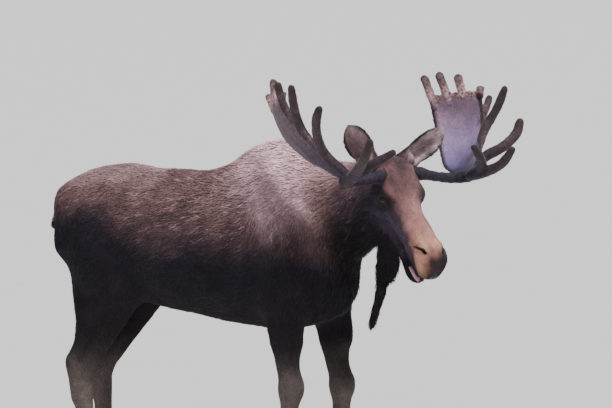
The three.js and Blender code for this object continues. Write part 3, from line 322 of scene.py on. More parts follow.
def ear_f(q, side):
    A = EAR_AX[side][1]; L = EAR_AX[side][4]
    s, w, n = ear_coords(q, side)
    hw = np.interp(s, EAR_W[:, 0], EAR_W[:, 1]); cup = np.interp(s, EAR_CUP[:, 0], EAR_CUP[:, 1]); th = np.interp(s, EAR_T[:, 0], EAR_T[:, 1])
    x = np.clip(w / np.maximum(hw, 1.0), -1.2, 1.2)
    mid = -cup * (1 - x * x) - 1.5 * s + 1.0
    slope = 2 * cup * np.abs(x) / np.maximum(hw, 1.5)
    d = smax(np.abs(n - mid) / np.sqrt(1 + slope**2) - th, (np.abs(w) - hw) * 0.8, 0.8)
    d = np.maximum(d, (-s - 0.12) * L)
    sg = 1 if side == "left" else -1
    return (smin(d, ell(q, (-5.0, -9.5, 11.0 * sg), (5.5, 4.2, 5.0), tuple(A), SIDE), 4) * HS).astype(np.float32)

# ------------------------------------------------------------------ the skin: the same field, sunk by the coat's depth
def gauss(p, c, r):
    q = (p - np.array(c, np.float32)) / np.array(r, np.float32); return np.exp(-np.einsum("ij,ij->i", q, q))


def ridge(p, A, B, w):
    """1 on the line A to B, falling off over w."""
    A = np.array(A, np.float32); d = np.array(B, np.float32) - A; h = np.clip((p - A) @ d / (d @ d), 0, 1)
    q = p - A - h[:, None] * d; return np.exp(-np.einsum("ij,ij->i", q, q) / (w * w))


def body_forms(p):
    """Muscle, bone and fold under the coat, in cm outwards."""
    q = mirrored(p)
    o = 0.9 * ridge(q, (52, 13, 172), (66, 24, 120), 5)                 # spine of the shoulder blade
    o -= 0.8 * ridge(q, (38, 24, 160), (46, 30, 118), 7)                # hollow behind it
    o += 1.0 * gauss(q, (52, 24, 112), (9, 9, 9))                       # elbow and its muscle
    o -= 1.3 * gauss(q, (-28, 28, 150), (13, 12, 9))                    # hollow of the flank
    o += 1.2 * gauss(q, (-42, 20, 164), (9, 9, 7))                      # point of the hip
    o -= 0.9 * gauss(q, (-66, 16, 158), (10, 9, 8))                     # beside the croup
    o += 0.9 * ridge(q, (-33, 26, 118), (-22, 25, 104), 5)              # fold of the stifle
    o -= 0.9 * ridge(q, (-76, 12, 142), (-68, 18, 108), 5)              # between the hamstrings
    o += 3.4 * gauss(q, (-75, 17, 154), (9, 11, 8)) + 1.2 * gauss(q, (-77, 18, 144), (8, 11, 8)) - 2.4 * gauss(q, (-72, 9, 168), (14, 16, 7))   # pin bones, either side of the tail
    o += 1.6 * gauss(q, (-86, 3, 157), (8, 9, 8))                       # root of the tail
    o -= 3.2 * gauss(q, (-72, 22, 117), (11, 12, 9))                    # under the seat
    o -= 0.6 * gauss(q, (-56, 2, 169), (12, 14, 8))
    o += 1.5 * ridge(q, (-8, 0, 169), (58, 0, 187), 11)                 # crest of the back and hump
    o -= 0.7 * ridge(q, (74, 19, 152), (84, 12, 128), 6)                # front of the shoulder
    o -= 0.8 * gauss(q, (84, 0, 116), (8, 4, 12))                       # between the breast muscles
    for i in range(6):                                                  # the ribs, barely felt
        x = 30 - 10 * i
        o += 0.16 * ridge(q, (x, 24, 152), (x - 9, 32, 118), 2.6)
    s = np.sin(q[:, 0] * 0.21 + 1.3) * np.sin(q[:, 2] * 0.17 + q[:, 1] * 0.11) + 0.6 * np.sin(p[:, 0] * 0.47 + p[:, 1] * 0.33) * np.sin(p[:, 2] * 0.39 + 2.0)
    return o + 0.14 * s


def leg_forms(p, L):
    J = L["j"]; z = p[:, 2]; zs = [j[2] for j in J][::-1]
    cx = np.interp(z, zs, [j[0] for j in J][::-1]); dx = p[:, 0] - cx
    o = -0.34 * bump(dx, -1.3, 0.9) * step(z, 22, 30) * (1 - step(z, 50, 58))        # cannon bone and tendon
    o += 0.25 * bump(z, J[2][2] + 4, 2.2) * step(dx, 0, 3) - 0.2 * bump(z, J[2][2] - 5, 2.0) * step(dx, -1, 2)
    o += 0.22 * bump(z, 15.5, 2.0) * step(-dx, 0, 3)
    return o


def coat_depth_trunk(p):
    return DEPTH["trunk"] + DEPTH["hump"] * bump(p[:, 0], 56, 30) * step(p[:, 2], 150, 176) - 0.4 * (1 - step(p[:, 2], 96, 118))


def eye_frame(sg):
    C = np.array([EYE["a"], EYE["b"], sg * EYE["l"]])
    D = unit((0.40, 0.16, sg)); T = np.array([0.82, 0.56, 0.0]); T = unit(T - (T @ D) * D); U = np.cross(D, T) * sg
    if U[1] < 0:
        U = -U
    return C, D, T, U


EYE_R = EYE["r"] / HS
NOSTRIL = ((56.8, -11.4, 8.1, 0.12), (58.6, -10.3, 7.9, 0.26), (60.6, -9.1, 7.5, 0.38), (62.9, -8.1, 6.1, 0.60), (64.9, -8.9, 5.1, 0.74))
_n = unit((0.05, 0.62, 0.78)); _e = unit(np.array((1.0, 0, 0)) - _n[0] * _n); NOSTRIL_AXES = np.stack([_e, np.cross(_n, _e)], 1)
LID = dict(w=2.5, up=1.55, lo=1.1)


def almond(t, u):
    """Below 0 inside the opening between the lids."""
    k = 1 - (np.abs(t) / LID["w"])**2.2
    return 0.75 * np.maximum(u - LID["up"] * k, -u - LID["lo"] * k)


def head_skin(q):
    m = q.copy(); m[:, 2] = np.abs(m[:, 2]); a, b, l = m[:, 0], m[:, 1], m[:, 2]
    d = head_f(q) / HS + DEPTH["head"]
    e = m - np.array([EYE["a"], EYE["b"], EYE["l"]], np.float32); e[:, 0] *= 0.9
    d = smin(d, np.sqrt((e**2).sum(1)) - (EYE_R + 0.24), 1.8)                                 # mound of the lids
    o = 0.45 * ridge(m, (17, -8.6, 11.4), (25, -10.2, 10.6), 1.7)                             # brow ridge
    o -= 1.5 * gauss(m, (23.6, -10.2, 11.6), (3.0, 2.4, 3.2))                                 # hollow before the eye
    o += 0.42 * ridge(m, (24, -17.4, 9.6), (44, -15.2, 7.6), 1.8)                             # facial crest
    o -= 0.75 * ridge(m, (27, -20.5, 9.6), (43, -20.8, 7.4), 3.0)                             # hollow of the cheek
    o -= 0.55 * ridge(m, (28, -9.8, 8.4), (42, -9.4, 6.6), 2.2)                               # beside the nose bridge
    o -= 0.7 * gauss(m, (9.5, -11.5, 11.5), (4.5, 3.5, 4))                                    # temple
    o += 0.5 * gauss(m, (11, -17.5, 11), (4, 3.5, 4))                                         # arch behind the eye
    o += 0.8 * gauss(m, (9, -0.5, 0), (5, 4, 6)) - 0.5 * gauss(m, (20, -2.5, 0), (7, 3, 3))   # forehead boss, dip below it
    o -= 0.42 * ridge(m, (22.6, -14.6, 11.0), (27.5, -18.2, 9.6), 0.75)                       # tear groove
    o -= 0.34 * ridge(m, (15.2, -15.6, 12.6), (22.8, -16.6, 11.4), 0.55)                      # fold under the eye
    o -= 0.24 * ridge(m, (14.8, -17.0, 12.6), (22.5, -18.3, 11.0), 0.6)
    o -= 0.28 * ridge(m, (16.2, -9.6, 12.2), (23.6, -9.4, 11.2), 0.6)                         # fold over the eye
    o -= 0.34 * ridge(m, (57.4, -17.4, 7.6), (58.6, -25, 6.0), 0.8)                           # crease in the lip
    o -= 0.22 * ridge(m, (52.8, -18.8, 7.4), (54.0, -25, 6.2), 0.7)
    o -= 0.2 * ridge(m, (49.4, -20.6, 7.3), (50.0, -25, 6.3), 0.6)
    o += 0.35 * gauss(m, (57, -8.4, 5.2), (6, 3, 4)) + 0.3 * gauss(m, (69, -17.5, 4.2), (4, 4, 3))
    o += 2.2 * gauss(m, (71.5, -19.8, 0.5), (4.5, 4.5, 6.5))                                  # the lip's heavy lower front
    o -= 0.4 * ridge(m, (69.5, -13, 0), (77, -22, 0), 0.9)                                    # groove down the nose's front
    for i in range(4):                                                                        # faint wrinkles above the nostril
        o -= 0.12 * ridge(m, (56.5 + 1.7 * i, -9.2 - 0.4 * i, 6.6), (58.2 + 1.7 * i, -12.4 - 0.3 * i, 7.8), 0.4)
    d = d - o
    d = smin(d, ell(m, (63.4, -12.6, 6.6), (5.0, 2.6, 2.4), (1, -0.2, 0), SIDE), 2.0)         # wing of the nostril
    d = smin(d, ecap(m, (57.5, -9.8, 6.7), (64.2, -9.6, 4.4), 0.5, 1.0, 0.5, 1.0, SIDE), 1.8)  # rim above it
    d = smin(d, ecap(m, (45, -25.2, 4.4), (67, -22.9, 4.2), 0.3, 1.5, 0.3, 1.5, SIDE), 1.8)   # roll of the upper lip
    q2 = (m - np.array(NOSTRIL[0][:3], np.float32)) @ NOSTRIL_AXES.astype(np.float32); best = np.full(len(m), 99.0, np.float32)
    P = (np.array([c[:3] for c in NOSTRIL]) - NOSTRIL[0][:3]) @ NOSTRIL_AXES
    for k in range(len(P) - 1):                                                               # nostril: a comma, wide in front
        e = P[k + 1] - P[k]; h = np.clip((q2 - P[k]) @ e / (e @ e), 0, 1)
        best = np.minimum(best, np.linalg.norm(q2 - P[k] - h[:, None] * e, axis=1) - (NOSTRIL[k][3] + (NOSTRIL[k + 1][3] - NOSTRIL[k][3]) * h))
    cut = smax(best, -(d + 2.6), 0.8); cut = np.maximum(cut, 4.0 - m[:, 2] * 2)
    d = smax(d, -cut, 0.5)
    return d


def eye_cut(d, q):
    """The skin dips under the eyeball between the lids."""
    for sg in (1, -1):
        C, D, T, U = eye_frame(sg)
        r = (q - C.astype(np.float32)) @ np.stack([D, T, U], 1).astype(np.float32)
        near = np.abs(r[:, 1]) < 5
        cut = np.maximum(almond(r[:, 1], r[:, 2]) - 0.12, (EYE_R - 0.55) - np.linalg.norm(r, axis=1))
        cut = np.maximum(cut, 0.5 - r[:, 0])
        d = np.where(near, smax(d, -cut, 0.3), d)
    return d


def skin_f(p):
    p = np.asarray(p, np.float32)
    x, z = p[:, 0], p[:, 2]
    d = trunk_f(p) + coat_depth_trunk(p)
    for L in LEGS.values():
        m = (np.abs(x - L["j"][1][0]) < 50) & (z < 165)
        if m.any():
            pm = p[m]; dep = DEPTH["shin"] + (DEPTH["thigh"] - DEPTH["shin"]) * step(pm[:, 2], 62, 108)
            d[m] = smin(d[m], leg_f(pm, L) + dep - leg_forms(pm, L), 7)
    m = x > 25
    if m.any():
        pm = p[m]; dm = smin(d[m], neck_f(pm) + DEPTH["neck"], 12)
        d[m] = dm
    d = d - body_forms(p) * (1 - step(x, 92, 104)) * step(z, 60, 95)
    m = x > 88
    if m.any():
        pm = p[m]; q = w2h(pm); dm = d[m]
        hj = smin(head_skin(q), (jaw_f(q) / HS + DEPTH["jaw"]), 1.4) * HS
        fold = 0.35 * ridge(pm, (107, -20, 158), (112, -14, 140), 1.6) + 0.3 * ridge(pm, (104, -21, 160), (107, -16, 138), 1.8)
        dm = smin(dm + fold, hj, 5)
        dm = smin(dm, bell_f(pm) + DEPTH["bell"], 4)
        for s in EAR:
            dm = smin(dm, ear_f(q, s) + DEPTH["ear"], 2.0)
        dm = eye_cut(dm / HS, q) * HS
        d[m] = dm
    m = x < -70
    if m.any():
        d[m] = smin(d[m], tail_f(p[m]) + DEPTH["tail"], 6.5)
    return d.astype(np.float32)


def many(f, p, size=60000):
    """f over many points, on all cores."""
    p = np.asarray(p, np.float32); cuts = [p[i:i + size] for i in range(0, len(p), size)]
    if len(cuts) < 2:
        return f(p)
    with ThreadPoolExecutor(4) as ex:
        return np.concatenate(list(ex.map(f, cuts)))


def band(f, lo, hi, h, coarse=4):
    """f on a grid of step h, worked out only near its zero."""
    lo = np.array(lo, float); H = h * coarse
    n = np.ceil((np.array(hi, float) - lo) / H).astype(int)
    ax = [lo[i] + H * np.arange(n[i] + 1) for i in range(3)]
    G = np.stack(np.meshgrid(*ax, indexing="ij"), -1)
    C = many(f, G.reshape(-1, 3)).reshape(G.shape[:3])
    near = np.zeros(n, bool)
    for i in (0, 1):
        for j in (0, 1):
            for k in (0, 1):
                near |= np.abs(C[i:n[0] + i, j:n[1] + j, k:n[2] + k]) < 1.3 * H
    D = C[:-1, :-1, :-1]
    for a in range(3):
        D = np.repeat(D, coarse, a); near = np.repeat(near, coarse, a)
    D = np.ascontiguousarray(D)
    idx = np.argwhere(near)
    D[near] = many(f, lo + h * idx)
    return D


def nets(D, lo, h):
    """Surface nets: one vertex in each cell that the surface crosses, one quad for each edge."""
    s = D < 0
    cnt = np.zeros([n - 1 for n in s.shape], np.uint8)
    for i in (0, 1):
        for j in (0, 1):
            for k in (0, 1):
                cnt += s[i:s.shape[0] - 1 + i, j:s.shape[1] - 1 + j, k:s.shape[2] - 1 + k]
    act = (cnt > 0) & (cnt < 8); idx = np.argwhere(act); n = len(idx)
    corners = np.array([(i, j, k) for i in (0, 1) for j in (0, 1) for k in (0, 1)])
    Vv = np.empty((n, 8), np.float32)
    for m, (i, j, k) in enumerate(corners):
        Vv[:, m] = D[idx[:, 0] + i, idx[:, 1] + j, idx[:, 2] + k]
    P = np.zeros((n, 3)); C = np.zeros(n); cn = corners.astype(float)
    for a in range(8):
        for b in range(a + 1, 8):
            if np.abs(cn[a] - cn[b]).sum() == 1:
                m = (Vv[:, a] < 0) != (Vv[:, b] < 0); t = Vv[m, a] / (Vv[m, a] - Vv[m, b])
                P[m] += cn[a] + (cn[b] - cn[a]) * t[:, None]; C[m] += 1
    verts = np.array(lo) + h * (idx + P / C[:, None])
    vid = -np.ones(act.shape, np.int32); vid[act] = np.arange(n); quads = []
    for ax in range(3):
        s0 = [slice(None)] * 3; s1 = [slice(None)] * 3; s0[ax] = slice(0, -1); s1[ax] = slice(1, None)
        a = s[tuple(s0)]; o = [x for x in range(3) if x != ax]
        e = np.argwhere(a != s[tuple(s1)])
        e = e[(e[:, o[0]] > 0) & (e[:, o[1]] > 0) & (e[:, o[0]] < s.shape[o[0]] - 1) & (e[:, o[1]] < s.shape[o[1]] - 1)]
        flip = a[tuple(e.T)]

        def cell(du, dv):
            q = e.copy(); q[:, o[0]] -= du; q[:, o[1]] -= dv; return vid[tuple(q.T)]
        q = np.stack([cell(1, 1), cell(0, 1), cell(0, 0), cell(1, 0)], 1)
        if ax == 1:
            flip = ~flip
        q[~flip] = q[~flip][:, ::-1]; quads.append(q)
    return verts, np.concatenate(quads)


def biggest(v, q):
    """Keeps the one connected surface with the most vertices."""
    lab = np.arange(len(v))
    while True:
        m = lab[q].min(1); new = lab.copy()
        for c in range(q.shape[1]):
            np.minimum.at(new, q[:, c], m)
        new = new[new]
        if (new == lab).all():
            break
        lab = new
    ids, n = np.unique(lab[q[:, 0]], return_counts=True); keep = ids[n.argmax()]
    q = q[lab[q[:, 0]] == keep]; used = np.unique(q); mp = -np.ones(len(v), int); mp[used] = np.arange(len(used))
    return v[used], mp[q]


def mesh_obj(name, v, faces, smooth=True, scale=True):
    """A mesh object from vertices in cm and one array of faces (or a list of them)."""
    me = bpy.data.meshes.new(name); co = (metres(v) if scale else np.asarray(v, float)).astype(np.float32)
    fs = faces if isinstance(faces, list) else [faces]
    me.vertices.add(len(co)); me.vertices.foreach_set("co", co.ravel())
    total = sum(f.size for f in fs); me.loops.add(total)
    me.loops.foreach_set("vertex_index", np.concatenate([f.ravel() for f in fs]).astype(np.int32))
    sizes = np.concatenate([np.full(len(f), f.shape[1], np.int32) for f in fs])
    me.polygons.add(len(sizes)); me.polygons.foreach_set("loop_start", np.r_[0, np.cumsum(sizes)[:-1]].astype(np.int32))
    me.polygons.foreach_set("loop_total", sizes)
    me.update(calc_edges=True); me.validate()
    if smooth:
        me.polygons.foreach_set("use_smooth", np.ones(len(me.polygons), bool))
    o = bpy.data.objects.new(name, me); bpy.context.scene.collection.objects.link(o)
    return o


def verts_of(o):
    a = np.empty(len(o.data.vertices) * 3, np.float32); o.data.vertices.foreach_get("co", a); return a.reshape(-1, 3)


def cm_of(o):
    return verts_of(o).astype(float) * 100 - SHIFT


def applied(o):
    """The object's mesh with its modifiers in it."""
    dg = bpy.context.evaluated_depsgraph_get(); me = bpy.data.meshes.new_from_object(o.evaluated_get(dg))
    o.modifiers.clear(); old = o.data; name = old.name; o.data = me; bpy.data.meshes.remove(old); me.name = name
    return o


# ------------------------------------------------------------------ build the skin: fine head, coarser body, zipped at the neck
SEAM_X = 98.0
H_BODY, H_HEAD = ((0.95, 0.32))


def trimmed(v, q, sign, x0):
    o = mesh_obj("tmp", v, q, False, False); bm = bmesh.new(); bm.from_mesh(o.data)
    g = bm.verts[:] + bm.edges[:] + bm.faces[:]
    bmesh.ops.bisect_plane(bm, geom=g, dist=1e-5, plane_co=(x0, 0, 0), plane_no=(sign, 0, 0), clear_outer=True)
    bmesh.ops.triangulate(bm, faces=bm.faces[:])
    me = bpy.data.meshes.new("tmp2"); bm.to_mesh(me); bm.free(); bpy.data.objects.remove(o)
    return me


def mesh_arrays(me):
    v = np.empty(len(me.vertices) * 3, np.float32); me.vertices.foreach_get("co", v)
    f = np.empty(len(me.loops), np.int32); me.loops.foreach_get("vertex_index", f)
    return v.reshape(-1, 3).astype(float), f.reshape(-1, 3)


def rim(v, f, x0):
    """The open edge at the plane, in order of angle."""
    e = np.sort(np.concatenate([f[:, [0, 1]], f[:, [1, 2]], f[:, [2, 0]]]), 1)
    u, n = np.unique(e, axis=0, return_counts=True); b = np.unique(u[n == 1])
    b = b[np.abs(v[b, 0] - x0) < 0.02]
    c = v[b].mean(0); ang = np.arctan2(v[b, 2] - c[2], v[b, 1] - c[1]); o = np.argsort(ang)
    return b[o], ang[o]


def build_skin():
    lo = [-104.0, -46.0, -1.0]; D = band(skin_f, lo, [SEAM_X + 5, 46, 190], H_BODY)
    v, q = biggest(*nets(D, lo, H_BODY)); log("body", len(v))
    lo = [SEAM_X - 3.0, -66.0, 86.0]; D = band(skin_f, lo, [176, 40, 204], H_HEAD)
    v2, q2 = nets(D, lo, H_HEAD); v2, q2 = biggest(v2, q2); log("head", len(v2))
    b1, b2 = trimmed(v, q, 1, SEAM_X - 0.4), trimmed(v2, q2, -1, SEAM_X + 0.3)
    o = bpy.data.objects.new("tmp3", b2); bpy.context.scene.collection.objects.link(o)
    vg = o.vertex_groups.new(name="thin"); co, _ = mesh_arrays(b2); qh = w2h(co.astype(np.float32))
    # the face keeps its full detail; neck, bell and ears can be thinned
    face = step(qh[:, 0], 8, 16) * step(-qh[:, 1], -2, 1)
    wts = (1 - face) * step(co[:, 0], SEAM_X + 0.5, SEAM_X + 4)
    for lev in np.linspace(0, 1, 6):
        ids = np.nonzero(np.abs(wts - lev) <= 0.1)[0]
        vg.add(ids.tolist(), float(lev), "REPLACE")
    dec = o.modifiers.new("d", "DECIMATE"); dec.ratio = 0.62; dec.vertex_group = "thin"; dec.vertex_group_factor = 0.8
    applied(o)
    b2 = o.data
    va, fa = mesh_arrays(b1); vb, fb = mesh_arrays(b2)
    ra, aa = rim(va, fa, SEAM_X - 0.4); rb, ab = rim(vb, fb, SEAM_X + 0.3)
    log("rims", len(ra), len(rb))
    n1 = len(va); zipf = []; i = j = 0; na, nb = len(ra), len(rb)
    while i < na or j < nb:
        ai = aa[i] if i < na else 9e9; bj = ab[j] if j < nb else 9e9
        if (aa[(i + 1) % na] + (2 * np.pi if i + 1 >= na else 0) <= ab[(j + 1) % nb] + (2 * np.pi if j + 1 >= nb else 0) and i < na) or j >= nb:
            zipf.append((ra[i % na], ra[(i + 1) % na], n1 + rb[j % nb])); i += 1
        else:
            zipf.append((ra[i % na], n1 + rb[(j + 1) % nb], n1 + rb[j % nb])); j += 1
    vv = np.vstack([va, vb]); ff = np.vstack([fa, fb + n1, np.array(zipf)])
    bpy.data.objects.remove(o)
    skin = mesh_obj("skin", vv, ff)
    bm = bmesh.new(); bm.from_mesh(skin.data); bmesh.ops.recalc_face_normals(bm, faces=bm.faces[:])
    open_edges = sum(1 for e in bm.edges if len(e.link_faces) != 2); bm.to_mesh(skin.data); bm.free()
    skin.data.polygons.foreach_set("use_smooth", np.ones(len(skin.data.polygons), bool))
    log("skin", len(skin.data.vertices), len(skin.data.polygons), "open edges", open_edges)
    return skin


skin = build_skin()

# ------------------------------------------------------------------ smooth noise, the same every run
def _hash(i, seed):
    i = i.astype(np.int64); h = (i[..., 0] * 73856093) ^ (i[..., 1] * 19349663) ^ (i[..., 2] * 83492791) ^ (seed * 2654435761)
    h = (h ^ (h >> 13)) * 1274126177; h = h ^ (h >> 16); return (h & 0xFFFF).astype(np.float32) / 65535.0


def noise3(p, scale, seed=0):
    """Value noise from -1 to 1, features about scale cm across."""
    q = np.asarray(p, float) / scale; i = np.floor(q); f = (q - i); f = f * f * (3 - 2 * f); out = 0
    for dx in (0, 1):
        for dy in (0, 1):
            for dz in (0, 1):
                w = (f[:, 0] if dx else 1 - f[:, 0]) * (f[:, 1] if dy else 1 - f[:, 1]) * (f[:, 2] if dz else 1 - f[:, 2])
                out = out + w * _hash(i + np.array([dx, dy, dz]), seed)
    return out * 2 - 1


def normals_of(o):
    n = np.empty(len(o.data.vertices) * 3, np.float32); o.data.vertices.foreach_get("normal", n); return n.reshape(-1, 3)


def put_attr(o, name, kind, data):
    a = o.data.attributes.new(name, kind, "POINT"); key = {"FLOAT": "value", "FLOAT_VECTOR": "vector", "FLOAT_COLOR": "color"}[kind]
    a.data.foreach_set(key, np.ascontiguousarray(data, np.float32).ravel())


# ------------------------------------------------------------------ eyes and lids
def sphere_dirs(nu, nv):
    """Unit directions: rings round +X, first and last rows are the poles."""
    ph = np.linspace(0, np.pi, nv); th = 2 * np.pi * np.arange(nu) / nu
    P, T = np.meshgrid(ph, th, indexing="ij"); return np.stack([np.cos(P), np.sin(P) * np.cos(T), np.sin(P) * np.sin(T)], -1)


def closed_rings(R, apex0, apex1):
    """Vertices and faces of a closed skin from rings (n, m, 3) and two end points."""
    n, m = R.shape[:2]; v = np.vstack([R.reshape(-1, 3), apex0, apex1])
    i, j = np.meshgrid(np.arange(n - 1), np.arange(m), indexing="ij"); i, j = i.ravel(), j.ravel(); k = (j + 1) % m
    quads = np.stack([i * m + j, i * m + k, (i + 1) * m + k, (i + 1) * m + j], 1)
    j = np.arange(m); k = (j + 1) % m
    t0 = np.stack([np.full(m, n * m), k, j], 1); t1 = np.stack([np.full(m, n * m + 1), (n - 1) * m + j, (n - 1) * m + k], 1)
    return v, [quads, np.vstack([t0, t1])]


def outward(o):
    bm = bmesh.new(); bm.from_mesh(o.data); bmesh.ops.recalc_face_normals(bm, faces=bm.faces[:]); bm.to_mesh(o.data); bm.free()
    o.data.polygons.foreach_set("use_smooth", np.ones(len(o.data.polygons), bool)); return o


def joined(name, parts):
    """One mesh object from several (vertices, [faces]) in cm."""
    vs, fs, n = [], [], 0
    for v, f in parts:
        vs.append(v); fs += [x + n for x in (f if isinstance(f, list) else [f])]; n += len(v)
    return outward(mesh_obj(name, np.vstack(vs), fs))


def make_eye(side):
    sg = 1 if side == "left" else -1; C, D, T, U = eye_frame(sg); d = sphere_dirs(48, 30)
    ang = np.arccos(np.clip(d[..., 0], -1, 1)); r = EYE_R * (1 + 0.055 * np.exp(-(ang / 0.5)**2))
    loc = d * r[..., None]; q = C + loc[..., :1] * D + loc[..., 1:2] * T + loc[..., 2:] * U
    v, f = closed_rings(h2w(q[1:-1].reshape(-1, 3)).reshape(q[1:-1].shape), h2w(q[0, :1])[:1], h2w(q[-1, :1])[:1])
    o = joined(f"eye_{side}_ball", [(v, f)])
    lc = (w2h(cm_of(o).astype(np.float32)) - C) @ np.stack([D, T, U], 1)
    put_attr(o, "Local", "FLOAT_VECTOR", lc / EYE_R)
    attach(o, "root"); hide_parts(f"eye_{side}")
    return o


def tube(C, R, m=14, up=(0.3, 0.5, 0.8), flat=None, closed=False, capn=3):
    """A tapered bar through points C with half widths R; flat is the share of R across the frame's second axis."""
    C = np.asarray(C, float).copy(); R = np.asarray(R, float); n = len(C)
    T = (np.roll(C, -1, 0) - np.roll(C, 1, 0)) if closed else np.gradient(C, axis=0); T /= np.linalg.norm(T, axis=1)[:, None]
    u = np.cross(T[0], up); u /= np.linalg.norm(u); U = []
    for i in range(n):
        u = u - (u @ T[i]) * T[i]; u = u / np.linalg.norm(u); U.append(u)
    U = np.array(U); W = np.cross(T, U); th = 2 * np.pi * np.arange(m) / m; fl = 1.0 if flat is None else flat
    cs, rs, ts, us, ws = [], [], [], [], []
    if not closed:
        C[-1] = C[-1] - T[-1] * R[-1]
        for k in range(capn, 0, -1):
            a = np.pi / 2 * k / (capn + 0.4); cs.append(C[0] - T[0] * R[0] * np.sin(a)); rs.append(R[0] * np.cos(a)); us.append(U[0]); ws.append(W[0])
    cs += list(C); rs += list(R); us += list(U); ws += list(W)
    if not closed:
        for k in range(1, capn + 1):
            a = np.pi / 2 * k / (capn + 0.4); cs.append(C[-1] + T[-1] * R[-1] * np.sin(a)); rs.append(R[-1] * np.cos(a)); us.append(U[-1]); ws.append(W[-1])
    cs, rs, us, ws = map(np.array, (cs, rs, us, ws))
    rings = cs[:, None] + rs[:, None, None] * (np.cos(th)[None, :, None] * us[:, None] + fl * np.sin(th)[None, :, None] * ws[:, None])
    if closed:
        nn = len(cs); i, j = np.meshgrid(np.arange(nn), np.arange(m), indexing="ij"); i, j = i.ravel(), j.ravel(); k = (j + 1) % m; i2 = (i + 1) % nn
        return rings.reshape(-1, 3), [np.stack([i * m + j, i * m + k, i2 * m + k, i2 * m + j], 1)]
    return closed_rings(rings, C[:1] - T[:1] * R[0], C[-1:] + T[-1:] * R[-1])


def make_lids(side):
    sg = 1 if side == "left" else -1; C, D, T, U = eye_frame(sg); parts = []

    def on(t, u, r):
        return C + np.sqrt(np.maximum(r * r - t * t - u * u, 0.01))[:, None] * D + t[:, None] * T + u[:, None] * U
    n = 44; th = np.linspace(0, 2 * np.pi, 2 * n, endpoint=False); t = LID["w"] * np.cos(th)
    k = np.clip(1 - (np.abs(t) / LID["w"])**2.2, 0, None); u = np.where(np.sin(th) >= 0, LID["up"], -LID["lo"]) * k
    u = np.convolve(np.r_[u[-2:], u, u[:2]], [0.1, 0.2, 0.4, 0.2, 0.1], "valid")
    w = np.clip(np.abs(np.sin(th)), 0, 1)
    r = np.where(np.sin(th) >= 0, 0.30, 0.25) * (0.55 + 0.45 * w)
    parts.append(tube(h2w(on(t, u, EYE_R + 0.06)), r * HS, m=12, closed=True, up=D @ HM.T, flat=0.8))
    for s, (tt, uu, rr, off) in enumerate(((1.20, 1.38, 0.34, 0.10), (1.12, -1.55, 0.30, 0.02), (1.22, -2.3, 0.26, -0.02))):  # folds over and under
        x = np.linspace(-0.92, 0.92, 26); kk = 1 - np.abs(x)**2.4
        base = LID["up"] if uu > 0 else LID["lo"]
        tx = LID["w"] * tt * x; ux = uu * base * kk + (0.1 if uu > 0 else -0.1)
        parts.append(tube(h2w(on(tx, ux, EYE_R + off)), rr * HS * (0.25 + 0.75 * np.sqrt(np.clip(kk, 0, 1))), m=10, up=D @ HM.T, flat=0.9))
    # the lower rim of the lid tube gets a lighter colour: a painted highlight for the glint on its wet edge
    painted_lid_glint = np.zeros(sum(len(v) for v, _ in parts)); painted_lid_glint[:len(parts[0][0])] = np.repeat(np.clip(-np.sin(th) * 1.6, 0, 1), 12)
    o = joined(f"lids_{side}", parts); put_attr(o, "PaintedLidGlint", "FLOAT", painted_lid_glint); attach(o, "root")
    return o


# ------------------------------------------------------------------ antlers
def catmull(pts, t):
    """Centripetal Catmull-Rom through pts at places t from 0 to 1, even by point number."""
    P = np.asarray(pts, float); n = len(P); x = np.clip(np.asarray(t, float), 0, 1) * (n - 1); i = np.minimum(x.astype(int), n - 2); w = x - i
    Pe = np.vstack([2 * P[0] - P[1], P, 2 * P[-1] - P[-2]])
    p0, p1, p2, p3 = Pe[i], Pe[i + 1], Pe[i + 2], Pe[i + 3]
    d0, d1, d2 = [np.maximum(np.linalg.norm(b - a, axis=-1)**0.5, 1e-4)[:, None] for a, b in ((p0, p1), (p1, p2), (p2, p3))]
    t1 = ((p1 - p0) / d0 - (p2 - p0) / (d0 + d1) + (p2 - p1) / d1) * d1; t2 = ((p2 - p1) / d1 - (p3 - p1) / (d1 + d2) + (p3 - p2) / d2) * d1
    w = w[:, None]; return p1 + t1 * w + (-3 * p1 + 3 * p2 - 2 * t1 - t2) * w**2 + (2 * p1 - 2 * p2 + t1 + t2) * w**3


def palm_at(side, t, x):
    """Points and normals on the palm's middle surface; t along, x across from -1 behind to 1 in front."""
    P = PALM[side]; t = np.asarray(t, float); x = np.asarray(x, float); e = 0.01
    R, Fr = catmull(P["rear"], t), catmull(P["front"], t)
    al = (catmull(P["rear"], t + e) + catmull(P["front"], t + e)) - (catmull(P["rear"], t - e) + catmull(P["front"], t - e))
    n = np.cross(Fr - R, al); n /= np.linalg.norm(n, axis=1)[:, None]; n = np.where(n[:, 2:] < 0, -n, n)
    return R + (Fr - R) * ((x + 1) / 2)[:, None] + n * (P["cup"] * (1 - x * x) * np.minimum(1, t * 2.5 + 0.25))[:, None], n


